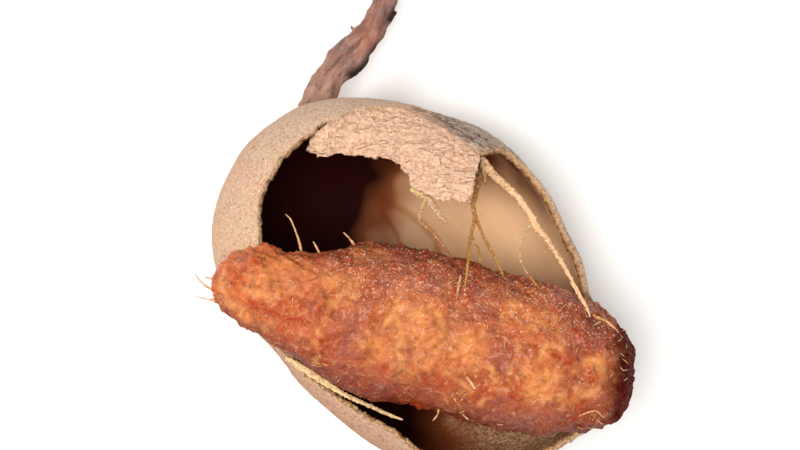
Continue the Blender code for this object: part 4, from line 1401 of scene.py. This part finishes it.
def add_floor(stage):
    """Large matt white card, without shine, just under the pod."""
    bm = bmesh.new()
    bmesh.ops.create_grid(bm, x_segments=2, y_segments=2, size=stage.floor_size / 2.0)
    bmesh.ops.translate(bm, verts=bm.verts[:], vec=(0.0, 0.0, -FLOOR_DROP * MM))
    mesh = bpy.data.meshes.new("floor")
    bm.to_mesh(mesh)
    bm.free()
    material = bpy.data.materials.new("matt_white_card")
    material.use_nodes = True
    shader = material.node_tree.nodes["Principled BSDF"]
    feed(material, shader, {"Base Color": stage.floor, "Roughness": 0.9})
    mesh.materials.append(material)
    floor = bpy.data.objects.new("floor", mesh)
    bpy.context.scene.collection.objects.link(floor)


class POD_OT_stage(bpy.types.Operator):
    """Set the floor, the lights and the camera"""

    bl_idname = "pod.stage"
    bl_label = "Stage"

    def execute(self, context):
        stage = context.scene.pod_stage
        scene = context.scene
        add_floor(stage)

        world = bpy.data.worlds.new("even_light")
        world.use_nodes = True
        sky = world.node_tree.nodes["Background"]
        sky.inputs["Color"].default_value = (1.0, 1.0, 1.0, 1.0)
        sky.inputs["Strength"].default_value = stage.sky
        scene.world = world
        scene.view_settings.view_transform = "Standard"

        add_light("key", stage.key_power, *KEY_LIGHT)
        add_light("front", stage.front_power, *FRONT_LIGHT)

        lens = bpy.data.cameras.new("camera")
        lens.lens = CAMERA_LENS
        lens.sensor_width = CAMERA_SENSOR
        lens.clip_start = 0.01
        camera = bpy.data.objects.new("camera", lens)
        scene.collection.objects.link(camera)
        camera.location = to_part(PICTURE_CENTRE) + Vector((0.0, 0.0, CAMERA_DISTANCE))
        scene.camera = camera
        return {"FINISHED"}


class POD_PT_panel(bpy.types.Panel):
    """Buttons that build the pod"""

    bl_label = "Tamarind Pod"
    bl_idname = "POD_PT_panel"
    bl_space_type = "VIEW_3D"
    bl_region_type = "UI"
    bl_category = "Pod"

    def draw(self, context):
        layout = self.layout
        for operator in OPERATORS:
            layout.operator(operator.bl_idname)
        for group in GROUPS:
            settings = getattr(context.scene, group)
            box = layout.box()
            for name in settings.bl_rna.properties.keys():
                if name not in {"rna_type", "name"}:
                    box.prop(settings, name)


GROUPS = {
    "pod_husk": PodHusk, "pod_pulp": PodPulp, "pod_stalk": PodStalk,
    "pod_strands": PodStrands, "pod_stage": PodStage,
}
OPERATORS = (
    POD_OT_husk, POD_OT_pulp, POD_OT_stalk, POD_OT_strands, POD_OT_fibres, POD_OT_stage,
)


def register():
    """Register the settings, the operators and the panel, and fix the noise."""
    noise.seed_set(NOISE_SEED)
    for name, group in GROUPS.items():
        bpy.utils.register_class(group)
        setattr(bpy.types.Scene, name, PointerProperty(type=group))
    for operator in OPERATORS:
        bpy.utils.register_class(operator)
    bpy.utils.register_class(POD_PT_panel)


def unregister():
    bpy.utils.unregister_class(POD_PT_panel)
    for operator in reversed(OPERATORS):
        bpy.utils.unregister_class(operator)
    for name, group in reversed(list(GROUPS.items())):
        delattr(bpy.types.Scene, name)
        bpy.utils.unregister_class(group)


def main():
    register()
    bpy.ops.pod.husk()
    bpy.ops.pod.pulp()
    bpy.ops.pod.stalk()
    bpy.ops.pod.strands()
    bpy.ops.pod.fibres()
    bpy.ops.pod.stage()


if __name__ == "__main__":
    main()
